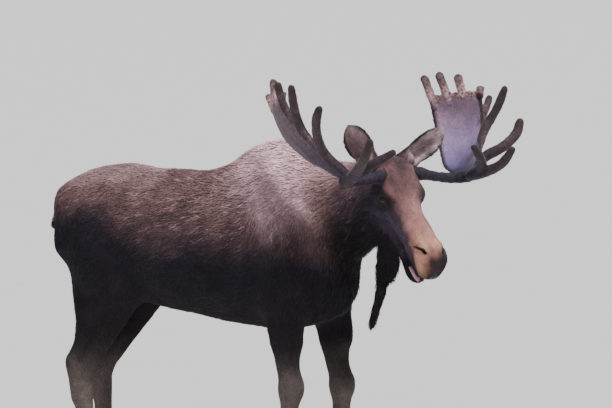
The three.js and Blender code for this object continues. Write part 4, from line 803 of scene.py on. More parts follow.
def make_antler(side):
    sg = np.array([1, 1, 1.0 if side == "left" else -1.0]); parts = []
    nt, nw = 46, 30; tt, xx = np.meshgrid(np.linspace(0, 1, nt), np.linspace(-1, 1, nw), indexing="ij"); t, x = tt.ravel(), xx.ravel()
    # the far edge sinks a little between the points, the front edge between the long tines
    tips = {k: v[0] for k, v in POINTS[side].items()}
    end = 0.985 + 0.014 * np.sin(x * 21 + 1) * np.sin(x * 9) - 0.012 * np.clip(np.min([np.abs(x - tips[k][1]) for k in "GHIF"], axis=0) / 0.3, 0, 1)
    tw = t * end; c, n = palm_at(side, tw, x)
    th = (PALM_T[0] + (PALM_T[1] - PALM_T[0]) * np.minimum(1, tw * 1.6)) * np.sqrt(np.maximum(0.10, 1 - np.abs(x)**5 * 0.9))
    th = th * 0.86 + 0.34 * np.exp(-((np.abs(x) - 0.9) / 0.10)**2) + 0.25 * np.exp(-((t - 0.96) / 0.04)**2)
    th += 0.10 * np.cos(x * 9 + 3 * tw) * (1 - np.abs(x)) * step(tw, 0.15, 0.4)
    th = np.where(t > 0.995, th * 0.55, th)
    top = c + n * th[:, None]; bot = c - n * th[:, None]; g = np.arange(nt * nw).reshape(nt, nw); o2 = nt * nw
    q = lambda a, b, cc, d: np.stack([a.ravel(), b.ravel(), cc.ravel(), d.ravel()], 1)
    A, B, Cc, Dd = g[:-1, :-1], g[:-1, 1:], g[1:, 1:], g[1:, :-1]
    fs = [q(A, B, Cc, Dd), q(A + o2, Dd + o2, Cc + o2, B + o2)]
    for col in (0, nw - 1):
        fs.append(q(g[:-1, col], g[1:, col], g[1:, col] + o2, g[:-1, col] + o2))
    for row in (0, nt - 1):
        fs.append(q(g[row, :-1], g[row, 1:], g[row, 1:] + o2, g[row, :-1] + o2))
    parts.append((h2w(np.vstack([top, bot]) * sg), fs))
    palm_w = h2w(c * sg); palm_n = (n * sg) @ HM.T; rim_v = np.maximum(np.abs(x), 0) ; palm_rim = np.maximum(step(rim_v, 0.80, 0.95), step(t, 0.93, 0.985))

    def bar(pts, R, n=26, m=16, extra=None):
        tq = np.linspace(0, 1, n); C = catmull(pts, tq); Rr = np.interp(tq * (len(R) - 1), np.arange(len(R)), R)
        if extra is not None:
            Rr = Rr + extra(tq)
        return h2w(C * sg), Rr * HS
    tip_pts, tip_len = [], []
    bars = [(BEAM[side], BEAM_R, 40, lambda s: 0.55 * np.exp(-((s - 0.235) / 0.035)**2) + 0.12 * np.sin(s * 55))]
    for k in ("inner", "outer"):
        bars.append((BROW[side][k], BROW_R[k], 30, lambda s: 0.14 * np.sin(s * 17 + 1) * s + 0.30 * np.clip(s * 2, 0, 1)))
        tip_pts.append(h2w(np.array(BROW[side][k][-1]) * sg)); tip_len.append(8.0)
    for k, (fr, via, tip, R) in POINTS[side].items():
        start = palm_at(side, [fr[0]], [fr[1]])[0][0]
        fat = 0.60 if side == "left" and not via else 0.0
        bars.append(([tuple(start), *via, tip], R, 26 if via else 14, lambda s, fat=fat: 0.12 * np.sin(s * 15 + 2) * s + 0.36 * np.clip(s * 1.4, 0, 1) + fat * np.clip(1.15 - 0.45 * s, 0, 1)))
        tip_pts.append(h2w(np.array(tip) * sg)); tip_len.append(7.0 if via else 4.0)
    axis_pts = []
    for pts, R, n, extra in bars:
        C, Rr = bar(pts, R, n, 16, extra); parts.append(tube(C, Rr, m=16)); axis_pts.append(C)
    o = joined(f"antler_{side}", parts)
    md = o.modifiers.new("remesh", "REMESH"); md.mode = "VOXEL"; md.voxel_size = 0.0041; md.use_smooth_shade = True
    sm = o.modifiers.new("smooth", "SMOOTH"); sm.factor = 0.5; sm.iterations = 4
    applied(o)
    p = cm_of(o); nn = normals_of(o)
    # rim: 1 near the palm's edges and on the tines; tip: 1 at the points
    from mathutils import kdtree
    kd = kdtree.KDTree(len(palm_w))
    for i, w in enumerate(palm_w):
        kd.insert(w, i)
    kd.balance(); step_n = 1
    rim = np.empty(len(p)); dist = np.empty(len(p)); face = np.empty(len(p)); edge = np.empty(len(p))
    for i, w in enumerate(p):
        _, j, dd = kd.find(w); rim[i] = palm_rim[j]; dist[i] = dd; face[i] = (w - palm_w[j]) @ palm_n[j]; edge[i] = t[j]
    tine = step(dist, 2.0, 3.2); rim = np.maximum(rim, tine)
    tips_d = np.min([np.linalg.norm(p - tp, axis=1) / ln for tp, ln in zip(tip_pts, tip_len)], axis=0); tipm = 1 - step(tips_d, 0.15, 1.0)
    root = np.linalg.norm(p - h2w(np.array(BEAM[side][1]) * sg), axis=1); beam = 1 - step(root + 3 * noise3(p, 5, 16), 27, 50)
    bmp = 0.10 * noise3(p, 1.3, 3) * (0.35 + rim) + 0.05 * noise3(p, 0.6, 5) * (0.4 + rim) + 0.10 * np.maximum(noise3(p, 2.2, 9), 0) * rim * (1 - beam)
    bmp += (0.30 * np.maximum(noise3(p, 1.7, 12), -0.2) + 0.14 * noise3(p, 0.8, 13)) * step(edge, 0.86, 0.96) * (1 - step(dist, 1.6, 2.6)) * rim
    pearls = np.maximum(noise3(p, 0.75, 21) - 0.15, 0); bmp += 0.16 * pearls * (1 - step(root, 3.5, 7.5))
    q = p + nn * bmp[:, None]
    o.data.vertices.foreach_set("co", metres(q).astype(np.float32).ravel()); o.data.update()
    put_attr(o, "Rim", "FLOAT", rim); put_attr(o, "Along", "FLOAT", edge); put_attr(o, "Under", "FLOAT", np.clip(0.5 + face * 1.2, 0, 1) * (1 - 0.7 * tine)); put_attr(o, "Edge", "FLOAT", step(edge + 0.05 * noise3(p, 4, 15), 0.89, 0.98) * (1 - 0.72 * step(dist + 0.8 * noise3(p, 2, 18), 1.8, 6.5))); put_attr(o, "Tip", "FLOAT", tipm); put_attr(o, "Beam", "FLOAT", beam)
    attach(o, "root"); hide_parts(f"antler_{side}_beam", f"antler_{side}_brow", f"antler_{side}_palm")
    log("antler", side, len(p)); return o


# ------------------------------------------------------------------ hooves and dewclaws
def make_feet(name):
    L = LEGS[name]; foot = L["j"][4]; parts = []; nseg, nr = 44, 26
    for s in (-L["y"], L["y"]):
        cx = foot[0] + 1.6; y0 = L["y"] * foot[1] + s * HOOF["split"] / 2; th = 2 * np.pi * np.arange(nseg) / nseg; c, sn = np.cos(th), np.sin(th)
        rings = []
        for i in range(nr):
            k = i / (nr - 1); fwd = HOOF["length"] * (0.555 + (0.31 - 0.555) * k**0.85); back = HOOF["length"] * (0.435 + (0.36 - 0.435) * k)
            across = (1 + np.sign(sn) * np.abs(sn)**np.where(sn > 0, 0.8, 0.5)) / 2
            toe = np.where(c > 0, 1 - 0.42 * c * c, 1 - 0.12 * c * c)
            wid = HOOF["width"] * (1 - 0.16 * k) * (1 + 0.03 * np.sin(np.pi * k))
            xx = cx - 1.2 * k + np.where(c > 0, fwd, back) * np.sign(c) * np.abs(c)**0.85
            yy = y0 + s * (0.04 + (wid - 0.06) * across * toe)
            mid = np.array([xx.mean(), yy.mean()])
            sh = 1 - 0.045 * math.exp(-k / 0.03) - 0.16 * step(k, 0.9, 1.0)
            ring_w = 0.006 * math.sin(k * 55) * (1 if 0.06 < k < 0.9 else 0)                       # growth rings
            sh += ring_w
            xx = mid[0] + (xx - mid[0]) * sh; yy = mid[1] + (yy - mid[1]) * sh
            fwdness = np.clip((xx - (cx - 5)) / 10, 0, 1); top = 6.4 + 2.8 * fwdness
            rings.append(np.stack([xx, yy, np.full(nseg, k) * top], 1))
        R = np.array(rings); a0 = R[0].mean(0); a1 = R[-1].mean(0); a0[2] = 0.0; a1[2] += 0.25
        parts.append(closed_rings(R, a0[None], a1[None]))
    o = joined(f"hooves_{name}", parts); p = cm_of(o)
    put_attr(o, "Up", "FLOAT", p[:, 2] / HOOF["height"])
    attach(o, "root"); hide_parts(f"hoof_{name}_inner", f"hoof_{name}_outer")
    parts = []; J = L["j"][3]
    for s in (-L["y"], L["y"]):
        t = np.linspace(0, 1, 16); a = math.radians(28)
        base = np.array([J[0] - DEWCLAW["back"] + 0.9, L["y"] * J[1] + s * DEWCLAW["out"], DEWCLAW["up"] + 1.9])
        tip = np.array([J[0] - DEWCLAW["back"] - 1.6, L["y"] * J[1] + s * (DEWCLAW["out"] + 0.15), DEWCLAW["up"] - 2.5])
        C = base + (tip - base) * t[:, None]; C[:, 0] -= 0.7 * np.sin(np.pi * t)
        R = DEWCLAW["r"] * (1.02 - 0.42 * t**1.6) * (1 + 0.02 * np.sin(t * 40)); parts.append(tube(C, R, m=18, up=(0, 1, 0), flat=0.8))
    d = joined(f"dewclaws_{name}", parts); put_attr(d, "Up", "FLOAT", (cm_of(d)[:, 2] - 10) / 6)
    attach(d, "root"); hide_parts(f"dewclaw_{name}_inner", f"dewclaw_{name}_outer")
    return o, d


def make_tongue():
    d = sphere_dirs(36, 26); r = np.array(TONGUE["r"]) * np.array([1, 1, 1]); q = d * np.array([r[0], r[1], r[2]])
    q[..., 1] -= 0.35 * np.exp(-(q[..., 2] / 0.5)**2) * (d[..., 1] > 0) + 0.05 * q[..., 0] * 0
    q[..., 1] -= 0.03 * (q[..., 0] - 1)**2
    q = q + np.array([TONGUE["a"], TONGUE["b"], TONGUE["l"]])
    w = h2w(q.reshape(-1, 3)).reshape(q.shape); v, f = closed_rings(w[1:-1], w[0, :1], w[-1, :1])
    o = joined("tongue_tip", [(v, f)]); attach(o, "root"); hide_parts("tongue"); return o


eyes = {s: make_eye(s) for s in EAR}; lids = {s: make_lids(s) for s in EAR}
antlers = {s: make_antler(s) for s in EAR}
feet = {n: make_feet(n) for n in LEGS}
tongue = make_tongue()
log("hard parts")

# ------------------------------------------------------------------ regions, lie of the coat, markings and painted light and shade
REG = ["trunk", "neck", "head", "ear_left", "ear_right", "bell", "tail", "front_right", "front_left", "hind_right", "hind_left"]
RI = {n: i for i, n in enumerate(REG)}


def part_dist(p):
    p = np.asarray(p, np.float32); q = w2h(p); n = len(p); D = np.full((n, len(REG)), 60.0, np.float32)
    D[:, 0] = trunk_f(p)
    m = p[:, 0] > 20; D[m, 1] = neck_f(p[m])
    m = p[:, 0] > 84; D[m, 2] = np.minimum(head_f(q[m]), jaw_f(q[m])); D[m, 3] = ear_f(q[m], "left"); D[m, 4] = ear_f(q[m], "right"); D[m, 5] = bell_f(p[m])
    D[m, 3] = np.where(w2h(p[m])[:, 2] < 0, 60, D[m, 3]); D[m, 4] = np.where(w2h(p[m])[:, 2] > 0, 60, D[m, 4])
    m = p[:, 0] < -70; D[m, 6] = tail_f(p[m])
    for k, L in LEGS.items():
        m = (np.abs(p[:, 0] - L["j"][1][0]) < 60) & (p[:, 2] < 165) & (p[:, 1] * L["y"] > -8); D[m, RI[k]] = leg_f(p[m], L)
    return D


def weights(D, soft=3.5):
    D = D.copy(); D[:, 3:5] -= 0.6; e = np.exp(-(D - D.min(1, keepdims=True)) / soft); return e / e.sum(1, keepdims=True)


def g3(q, c, r):
    return np.exp(-(((q - np.array(c)) / np.array(r))**2).sum(1))


def lie(p, n, W):
    """The way the hair lies at p on the skin with normal n: a unit vector along the skin."""
    x, y, z = p.T; q = w2h(p.astype(np.float32)).astype(float); sy = np.tanh(y / 6); F = np.zeros_like(p)
    up = np.clip(n[:, 2], 0, 1)
    t = np.stack([-np.ones(len(p)), 0.28 * sy * up * step(x, 20, 60), -0.16 - 0.42 * (1 - up)], 1)
    fan = step(x, 28, 58) * (1 - step(z, 146, 168)); ang = fan * (0.35 + 0.65 * step(x, 50, 84))
    t = t * (1 - ang)[:, None] + ang[:, None] * np.array([-0.28, 0, -1.0])
    h = step(-x, 46, 70) * (1 - step(z, 140, 160)); t = t * (1 - h)[:, None] + h[:, None] * np.array([-0.3, 0, -1.0])
    r = step(-n[:, 0], 0.3, 0.8) * step(-x, 60, 75); t = t * (1 - r)[:, None] + r[:, None] * np.stack([0 * x, 0.1 * sy, -1 + 0 * x], 1)
    und = step(-n[:, 2], 0.5, 0.9); t = t * (1 - und)[:, None] + und[:, None] * np.array([-1.0, 0, -0.1])
    F += W[:, :1] * t
    k = np.stack([-0.72 - 0.3 * up, 0.12 * sy, -0.75 * (1 - 0.8 * up)], 1); F += W[:, 1:2] * k
    side = np.clip(np.abs(q[:, 2]) / 8, 0, 1) * (1 - step(q[:, 0], 40, 60)); low = step(-q[:, 1], 8, 18)
    hd = -HA[None] * 1.0 - HB[None] * (0.10 + 0.5 * low * side)[:, None] + HL[None] * (np.tanh(q[:, 2] / 4) * 0.22 * (1 - low))[:, None]
    F += W[:, 2:3] * hd
    for i, s in ((3, "left"), (4, "right")):
        A = EAR_AX[s][1] @ HM.T; Wv = EAR_AX[s][2] @ HM.T; sw, w, _ = ear_coords(q.astype(np.float32), s)
        F += W[:, i:i + 1] * (A[None] + Wv[None] * (np.clip(w / 7, -1, 1) * 0.35)[:, None])
    F += W[:, 5:6] * np.array([-0.15, 0, -1.0]) + W[:, 6:7] * np.array([-0.3, 0, -1.0])
    F += W[:, 7:].sum(1, keepdims=True) * np.array([-0.16, 0, -1.0])
    F += 0.16 * np.stack([noise3(p, 14, 31), noise3(p, 14, 32), noise3(p, 14, 33)], 1) * (1 - 0.5 * W[:, 2:3]) \
        + 0.10 * np.stack([noise3(p, 4.5, 34), noise3(p, 4.5, 35), noise3(p, 4.5, 36)], 1)
    F -= n * (F * n).sum(1, keepdims=True); l = np.linalg.norm(F, axis=1, keepdims=True)
    alt = np.array([0.02, 0.01, -1.0]) - n * (n @ np.array([0.02, 0.01, -1.0]))[:, None]
    F = np.where(l > 0.08, F / np.maximum(l, 1e-6), alt / np.linalg.norm(alt, axis=1, keepdims=True)); return F


def srgb(*c):
    c = np.array(c, float) / 255; return np.where(c <= 0.04045, c / 12.92, ((c + 0.055) / 1.055)**2.4)


# ear_in (left) and ear_in_r (right) are one inner-ear colour, painted lighter on the left ear and darker on the right:
# painted light and shade
COL = {k: srgb(*v) for k, v in dict(
    upper=(107, 81, 81), lower=(25, 21, 32), hump=(238, 196, 204), neck_up=(126, 98, 98), neck_mid=(74, 55, 55), throat=(28, 22, 27),
    haunch=(30, 25, 35), thigh=(30, 25, 29), cannon=(104, 92, 88), fore=(122, 88, 88), bridge=(172, 124, 118), muzzle=(192, 138, 120),
    front=(26, 20, 27), cheek=(50, 42, 54), cheek2=(86, 68, 82), jaw=(30, 24, 31), eye=(18, 14, 18), ear_in=(238, 208, 214), ear_in_r=(196, 164, 168),
    ear_back=(48, 38, 42), ear_rim=(36, 28, 32), bell=(26, 21, 26), belly=(34, 28, 32), rump=(80, 63, 68), skin=(40, 33, 38)).items()}


def mixc(a, b, t):
    return a * (1 - t[:, None]) + b * t[:, None]


def marking(p, n, W, D):
    """Colour of the coat, linear, at points p, with painted light and shade in places."""
    x, y, z = p.T; q = w2h(p.astype(np.float32)).astype(float); a, b, l = q.T; al = np.abs(l); wob = 4 * noise3(p, 16, 41) + 2.0 * noise3(p, 6, 42)
    C = np.zeros_like(p, float); one = np.ones(len(p))
    zz = z + wob
    tr = mixc(COL["lower"][None] * one[:, None], COL["upper"], step(zz, 119 + 7 * step(-x, 0, 60), 159))
    tr = mixc(tr, srgb(158, 128, 132), 0.60 * step(z + 0.5 * wob, 155, 168) * step(-x, 8, 28))
    mask = np.exp(-(np.maximum(np.abs(x - 57) - 9, 0) / np.where(x < 57, 18, 25))**2) * step(zz, 146 - 16 * np.exp(-((x - 62) / 18)**2), 178 - 6 * np.exp(-((x - 62) / 18)**2))
    tr = mixc(tr, COL["hump"], np.clip(mask * 1.2, 0, 1) * 0.92)
    # a darker diagonal line behind the shoulder: painted shade of the crease there
    tr = tr * (1 - 0.35 * np.exp(-((x - (30 + 0.25 * (z - 120))) / 4.5)**2) * step(z, 98, 118) * (1 - step(z, 142, 158)))[:, None]
    tr = mixc(tr, COL["haunch"], 0.92 * step(-x, 16, 48) * (1 - step(zz, 138, 156))); tr = mixc(tr, srgb(17, 16, 27), 0.88 * step(-x, 38, 66) * (1 - step(zz, 132, 149)))
    tr = mixc(tr, COL["rump"], 0.4 * step(-x, 60, 85) * step(zz, 138, 150) * (1 - step(zz, 156, 164)))
    # a lighter patch behind the shoulder and a darker one at the front of the upper arm: painted light and painted
    # shade
    lowz = 1 - step(z, 143, 153); tr = tr * (1 + 0.45 * np.exp(-((x - 46) / 9)**2) * lowz * step(z, 112, 124) - 0.42 * np.exp(-((x - 65) / 7)**2) * lowz * step(z, 108, 124))[:, None]
    tr = mixc(tr, COL["belly"], 0.6 * step(-n[:, 2], 0.45, 0.85))
    # the neck's colour follows which way it faces: lighter facing up, much darker facing down; painted light from above
    # and painted shade under the neck, over the throat's own dark hair
    hn = np.clip((n[:, 2] + 0.1 + 0.02 * wob), -1, 1); nk = mixc(COL["neck_mid"][None] * one[:, None], COL["neck_up"], step(hn, 0.05, 0.75)); nk = mixc(nk, COL["throat"], 1 - step(hn, -0.55, 0.05))
    nk = mixc(nk, COL["hump"], 0.45 * step(zz, 165, 178) * (1 - step(x, 88, 108))); nk = mixc(nk, COL["cheek"], 0.6 * step(x, 96, 110) * (1 - step(hn, 0.6, 0.9)))
    hb = b + 0.30 * wob; mid = np.interp(a, [6, 14, 22, 30, 37, 45, 54, 61, 65, 69, 73], [-9, -7.5, -6.4, -8.6, -11.2, -12.3, -12.9, -12.6, -15.2, -20.5, -25]); hb = hb + 1.5 * noise3(p, 3.0, 53); wv = 1 + 0.6 * (1 - step(a, 24, 36)); topside = step(hb + 1.2 * noise3(p, 1.5, 60) * (wv - 1), mid - 4.2 * wv, mid + 3.4 * wv)
    ck = step(a, 21, 29) * step(b, -26.5, -22.5) * (1 - step(a, 56, 62)) * (0.62 + 0.5 * noise3(p, 3.6, 58) + 0.3 * noise3(p, 1.4, 59))
    hd = mixc(COL["cheek"][None] * one[:, None], COL["cheek2"], np.clip(ck, 0, 1)); hd = mixc(hd, COL["fore"], topside)
    light = topside * step(a, 16, 38); hd = mixc(hd, COL["bridge"], light)
    hd = mixc(hd, COL["muzzle"], topside * step(a, 44, 58))
    hd = mixc(hd, COL["jaw"], np.clip(step(-hb, 23.5, 27.5) + step(D["jaw"], 0.5, -0.3) * step(-b, 22, 26), 0, 1))
    jowl = step(a, 13, 19) * (1 - step(a, 46, 55)) * step(b + 0.5 * wob, -30.5, -27.6) * (1 - step(b + wob, -21, -14)) * step(al, 2.4, 4.2)
    # the jowl is painted lighter and bluer on the right side than on the left: painted light and sheen on the right,
    # painted shade on the left
    hd = mixc(hd, np.where(l[:, None] < 0, srgb(85, 72, 94), srgb(66, 55, 63)), np.clip(jowl * (0.68 + 0.45 * noise3(p, 3.1, 61) + 0.28 * noise3(p, 1.3, 62)), 0, 0.95))
    # the muzzle's own dark front, reaching further round the left side, with an extra dark patch on the left nose:
    # painted shade on the left side
    lw = np.where(l < 0, al, 0.35 * al) + 0.8 * noise3(p, 2.5, 46); hd = mixc(hd, COL["front"], 0.97 * step(a + 1.3 * noise3(p, 3, 43) + 0.25 * (-14 - b) - 0.3 * np.minimum(lw, 3), 57.4, 67.8) * (1 - step(lw, 1.6, 9.8)))
    hd = mixc(hd, COL["front"], 0.85 * np.clip(1.2 * g3(np.stack([a, b, l], 1), (66.5, -9.3, 6.8), (4.8, 4.6, 3.4)), 0, 1))
    # darker along the crease over the nostril and down the fold below it: painted shade in these creases
    hd = mixc(hd, COL["front"], 0.5 * g3(np.stack([a, b, al], 1), (61, -8.6, 7.0), (5.5, 1.5, 2.6)) + 0.35 * g3(np.stack([a, b, al], 1), (59.5, -16.5, 7.5), (1.6, 6, 4)))
    hd = mixc(hd, COL["front"], np.clip(np.exp(-((a - 62) / 13)**2) * step(-b + 0.4 * noise3(p, 2.5, 47), 20.6, 23.0), 0, 1))
    hd = mixc(hd, COL["cheek"], 0.75 * g3(np.stack([a, b, al], 1), (7, 0, 0), (7, 7, 4.5)) + 0.45 * g3(np.stack([a, b, al], 1), (1, -3, 6), (5, 6, 6)))
    hd = hd * (1 - ((1 - topside) * (1 - step(a + 0.3 * wob, 14, 22)))[:, None] * np.array([0.46, 0.43, 0.28]))
    hd = mixc(hd, srgb(104, 82, 98), 0.65 * step(noise3(p, 3.2, 48) + 0.5 * noise3(p, 1.5, 55), 0.05, 0.7) * (1 - topside) * step(a, 20, 28) * (1 - step(a, 44, 52)) * step(b, -25, -20)); hd = hd * (1 + 0.14 * noise3(p, 2.2, 56) + 0.10 * noise3(p, 0.9, 57))[:, None]
    ed = np.linalg.norm(np.stack([(a - EYE["a"]) / 1.15, b - EYE["b"], al - EYE["l"]], 1), axis=1)
    hd = mixc(hd, COL["eye"], (1 - step(ed + 0.6 * noise3(p, 2, 54), 3.4, 6.8)) * 0.96)
    hd = mixc(hd, COL["eye"], 0.85 * np.clip(1.3 * g3(np.stack([a, b, l], 1), (23.5, -6.0, 9.6), (7.5, 3.4, 3.4)), 0, 1))
    # dark patch in the hollow before the eye: dark hair there, with painted shade of the hollow
    hd = mixc(hd, COL["eye"], 0.8 * np.clip(1.2 * g3(np.stack([a, b, al], 1), (24.2, -9.2, 10.0), (3.4, 2.2, 3.0)), 0, 1))
    hd = mixc(hd, COL["eye"], 0.85 * np.clip(g3(np.stack([a, b, al], 1), (25.5, -12.4, 10.5), (3.4, 1.9, 4)) + g3(np.stack([a, b, al], 1), (20.5, -18.6, 10.5), (2.6, 2.2, 5)), 0, 1))
    # darker and bluer on the neck by the head, and darker again on the lower neck and chest front: painted shadow of
    # the head and antlers and painted shade under the neck
    nk = nk * (1 - (step(x + 0.5 * wob, 86, 98) * (1 - step(z + 0.5 * wob, 157, 169)))[:, None] * np.array([0.52, 0.49, 0.28]))
    dn = (1 - 0.64 * step(x + 0.5 * wob, 79, 92) * (1 - step(z + 0.6 * wob, 139, 157)))[:, None]; C += W[:, :1] * tr * dn + W[:, 1:2] * nk * dn + W[:, 2:3] * hd
    for i, s in ((3, "left"), (4, "right")):
        sw, w, nn = ear_coords(q.astype(np.float32), s); A, Wv, N = [v @ HM.T for v in EAR_AX[s][1:4]]
        face = np.clip((n @ N) * 1.0, -1, 1); hw = np.interp(sw, EAR_W[:, 0], EAR_W[:, 1]); edge = step(np.abs(w) / np.maximum(hw, 1), 0.68, 0.95)
        # the left ear's inside is painted lighter than the right's: painted light on the left ear, painted shade on the
        # right
        inner = COL["ear_in"] if s == "left" else COL["ear_in_r"]
        # darker in the middle of the cup, beside it and at the ear's root: painted shade in the ear's hollow
        cup_shade = (1 - 0.45 * np.exp(-((w / 2.6)**2 + ((sw - 0.42) / 0.16)**2)) - 0.35 * np.exp(-(((w - 2.5) / 1.6)**2 + ((sw - 0.62) / 0.10)**2)) - 0.6 * (1 - step(sw, 0.0, 0.16)))[:, None]
        e = mixc(COL["ear_back"][None] * one[:, None], inner * cup_shade * np.clip(0.80 + 0.34 * noise3(p, 3.0, 49) + 0.30 * noise3(p * np.array([1.0, 1.0, 0.5]), 1.2, 50), 0.22, 1.15)[:, None], step(face, -0.05, 0.35) * (1 - 0.75 * edge))
        e = mixc(e, COL["ear_rim"], 0.85 * edge * step(sw, 0.1, 0.4)); C += W[:, i:i + 1] * e
    C += W[:, 5:6] * COL["bell"] + W[:, 6:7] * mixc(COL["rump"][None] * one[:, None], COL["haunch"], step(-z, -153, -146))
    lg = mixc(COL["thigh"][None] * one[:, None], COL["cannon"], 0.9 * (1 - step(zz, 52, 84)))
    lg = mixc(lg, COL["haunch"], 0.8 * step(zz, 100, 132)); lg = mixc(lg, COL["thigh"], 0.75 * (1 - step(z, 9, 15)))
    up = mixc(lg, tr, step(zz, 108, 132)); C += W[:, 7:].sum(1, keepdims=True) * up
    v = 1 + 0.16 * noise3(p, 9, 44) + 0.12 * noise3(p, 3.2, 45); return C * v[:, None]


def side_dists(p):
    q = w2h(np.asarray(p, np.float32)); m = p[:, 0] > 84; j = np.full(len(p), 9.0); j[m] = jaw_f(q[m]) - head_f(q[m]); return dict(jaw=j)


P_SKIN = cm_of(skin); N_SKIN = normals_of(skin).astype(float)
D_SKIN = many(part_dist, P_SKIN); W_SKIN = weights(D_SKIN)
F_SKIN = lie(P_SKIN, N_SKIN, W_SKIN); M_SKIN = marking(P_SKIN, N_SKIN, W_SKIN, side_dists(P_SKIN))
Q_SKIN = w2h(P_SKIN.astype(np.float32)).astype(float)


def bareness(q, W):
    """1 where the skin is bare and dark: nose, lips, rims of the eyes."""
    m = q.copy(); m[:, 2] = np.abs(m[:, 2]); P = (m - NOSTRIL[0][:3]) @ NOSTRIL_AXES; N = (np.array([c[:3] for c in NOSTRIL]) - NOSTRIL[0][:3]) @ NOSTRIL_AXES
    best = np.full(len(m), 99.0)
    for k in range(len(N) - 1):
        e = N[k + 1] - N[k]; h = np.clip((P - N[k]) @ e / (e @ e), 0, 1); best = np.minimum(best, np.linalg.norm(P - N[k] - h[:, None] * e, axis=1) - NOSTRIL[k][3])
    nos = (1 - step(best, 0.15, 1.0)) * step(m[:, 2], 2.5, 3.5) * step(m[:, 0], 50, 54) * step(m[:, 1], -16, -14)
    ed = np.linalg.norm(m - np.array([EYE["a"], EYE["b"], EYE["l"]]), axis=1); eye = 1 - step(ed, EYE_R + 0.35, EYE_R + 1.1)
    pad = (1 - step(np.sqrt((m[:, 2] / 2.2)**2 + ((m[:, 1] + 19.2) / 3.6)**2), 0.6, 1.1)) * step(m[:, 0], 66, 69)
    return np.clip(np.maximum(np.maximum(nos, eye), pad) * W[:, 2], 0, 1)


B_SKIN = bareness(Q_SKIN, W_SKIN)
M_SKIN = mixc(M_SKIN, COL["skin"] * 0.6, 0.85 * B_SKIN)
cav = np.zeros(len(P_SKIN))


def lie_coords(p, W):
    """Coordinates along the hair (first) and across it, for the fine lines on the skin."""
    q = w2h(p.astype(np.float32)).astype(float); x, y, z = p.T
    t = np.stack([0.94 * x + 0.34 * z, 0.94 * z - 0.34 * x, y], 1); k = np.stack([0.7 * x + 0.7 * z, 0.7 * z - 0.7 * x, y], 1); lg = np.stack([z, x, y], 1)
    h = q[:, [0, 1, 2]].copy(); out = W[:, :1] * t + W[:, 1:2] * k + W[:, 2:3] * h + (W[:, 5:].sum(1, keepdims=True)) * lg
    for i, s in ((3, "left"), (4, "right")):
        sw, w, nn = ear_coords(q.astype(np.float32), s); out = out + W[:, i:i + 1] * np.stack([sw * 30, w, nn], 1)
    return out


put_attr(skin, "Mark", "FLOAT_COLOR", np.c_[M_SKIN, np.ones(len(M_SKIN))]); put_attr(skin, "Lie", "FLOAT_VECTOR", lie_coords(P_SKIN, W_SKIN)); put_attr(skin, "Bare", "FLOAT", B_SKIN)
log("markings")


# ------------------------------------------------------------------ tufts
def style(p, n, W, q):
    """Length, width, height of the tip (cm) and cover of the tufts at p."""
    x, y, z = p.T; up = np.clip(n[:, 2], -1, 1); S = np.zeros((len(p), 4))
    hump = np.exp(-((x - 50) / 32)**2) * step(z, 138, 166)
    t = np.stack([3.6 + 1.8 * hump, 0.46 + 0.08 * hump, 0.58 + 1.05 * hump, 1.42 + 0.40 * hump], 1)
    h = step(-x, 45, 66) * (1 - step(z, 135, 155)); t = t * (1 - h)[:, None] + h[:, None] * np.array([3.2, 0.50, 0.50, 1.5])
    ch = step(x, 70, 84) * (1 - step(z, 120, 140)); t = t * (1 - ch)[:, None] + ch[:, None] * np.array([5.5, 0.6, 1.1, 1.6]); S += W[:, :1] * t
    k = step(-up, 0.1, 0.6)[:, None]; cr = step(up, 0.6, 0.9)[:, None] * (1 - step(x, 96, 108))[:, None]
    nk = np.array([4.4, 0.55, 0.95, 1.7]) * (1 - k) + k * np.array([6.4, 0.55, 1.3, 1.7]); nk = nk * (1 - cr) + cr * np.array([5.8, 0.62, 1.5, 1.9]); S += W[:, 1:2] * nk
    a, b, l = q.T; face = step(a, 6, 20) * step(b, -24, -18); muz = step(a, 48, 58)
    hd = np.array([1.9, 0.28, 0.30, 1.15])[None] * (1 - face)[:, None] + face[:, None] * np.array([1.05, 0.18, 0.13, 0.95]); hd = hd * (1 - muz)[:, None] + muz[:, None] * np.array([0.75, 0.15, 0.08, 0.75])
    jw = step(-b, 27, 31)[:, None]; hd = hd * (1 - jw) + jw * np.array([2.2, 0.28, 0.40, 1.3]); poll = (1 - step(a, 0, 9))[:, None] * (1 - jw); hd = hd * (1 - poll) + poll * np.array([3.0, 0.36, 0.7, 1.4]); S += W[:, 2:3] * hd
    for i, s in ((3, "left"), (4, "right")):
        sw, w, nn = ear_coords(q.astype(np.float32), s); N = EAR_AX[s][3] @ HM.T; inn = step(n @ N, 0.0, 0.4)[:, None]
        E = np.array([1.9, 0.26, 0.26, 1.4]) * (1 - inn) + inn * np.array([2.6, 0.24, 0.5, 1.0]); E[:, 0] *= 1 - 0.62 * step(sw, 0.62, 0.98); E[:, 2] *= 1 - 0.5 * step(sw, 0.7, 1.0); S += W[:, i:i + 1] * E
    S += W[:, 5:6] * np.array([6.5, 0.5, 1.1, 2.0]) + W[:, 6:7] * np.array([4.4, 0.42, 0.9, 2.2])
    u = step(z, 58, 105)[:, None]; fr = (1 - step(z, 10, 14))[:, None]
    lg = np.array([1.5, 0.27, 0.17, 0.95]) * (1 - u) + u * np.array([2.7, 0.42, 0.42, 1.4]); lg = lg * (1 - fr) + fr * np.array([3.4, 0.34, 0.5, 2.6]); S += W[:, 7:].sum(1, keepdims=True) * lg
    return S


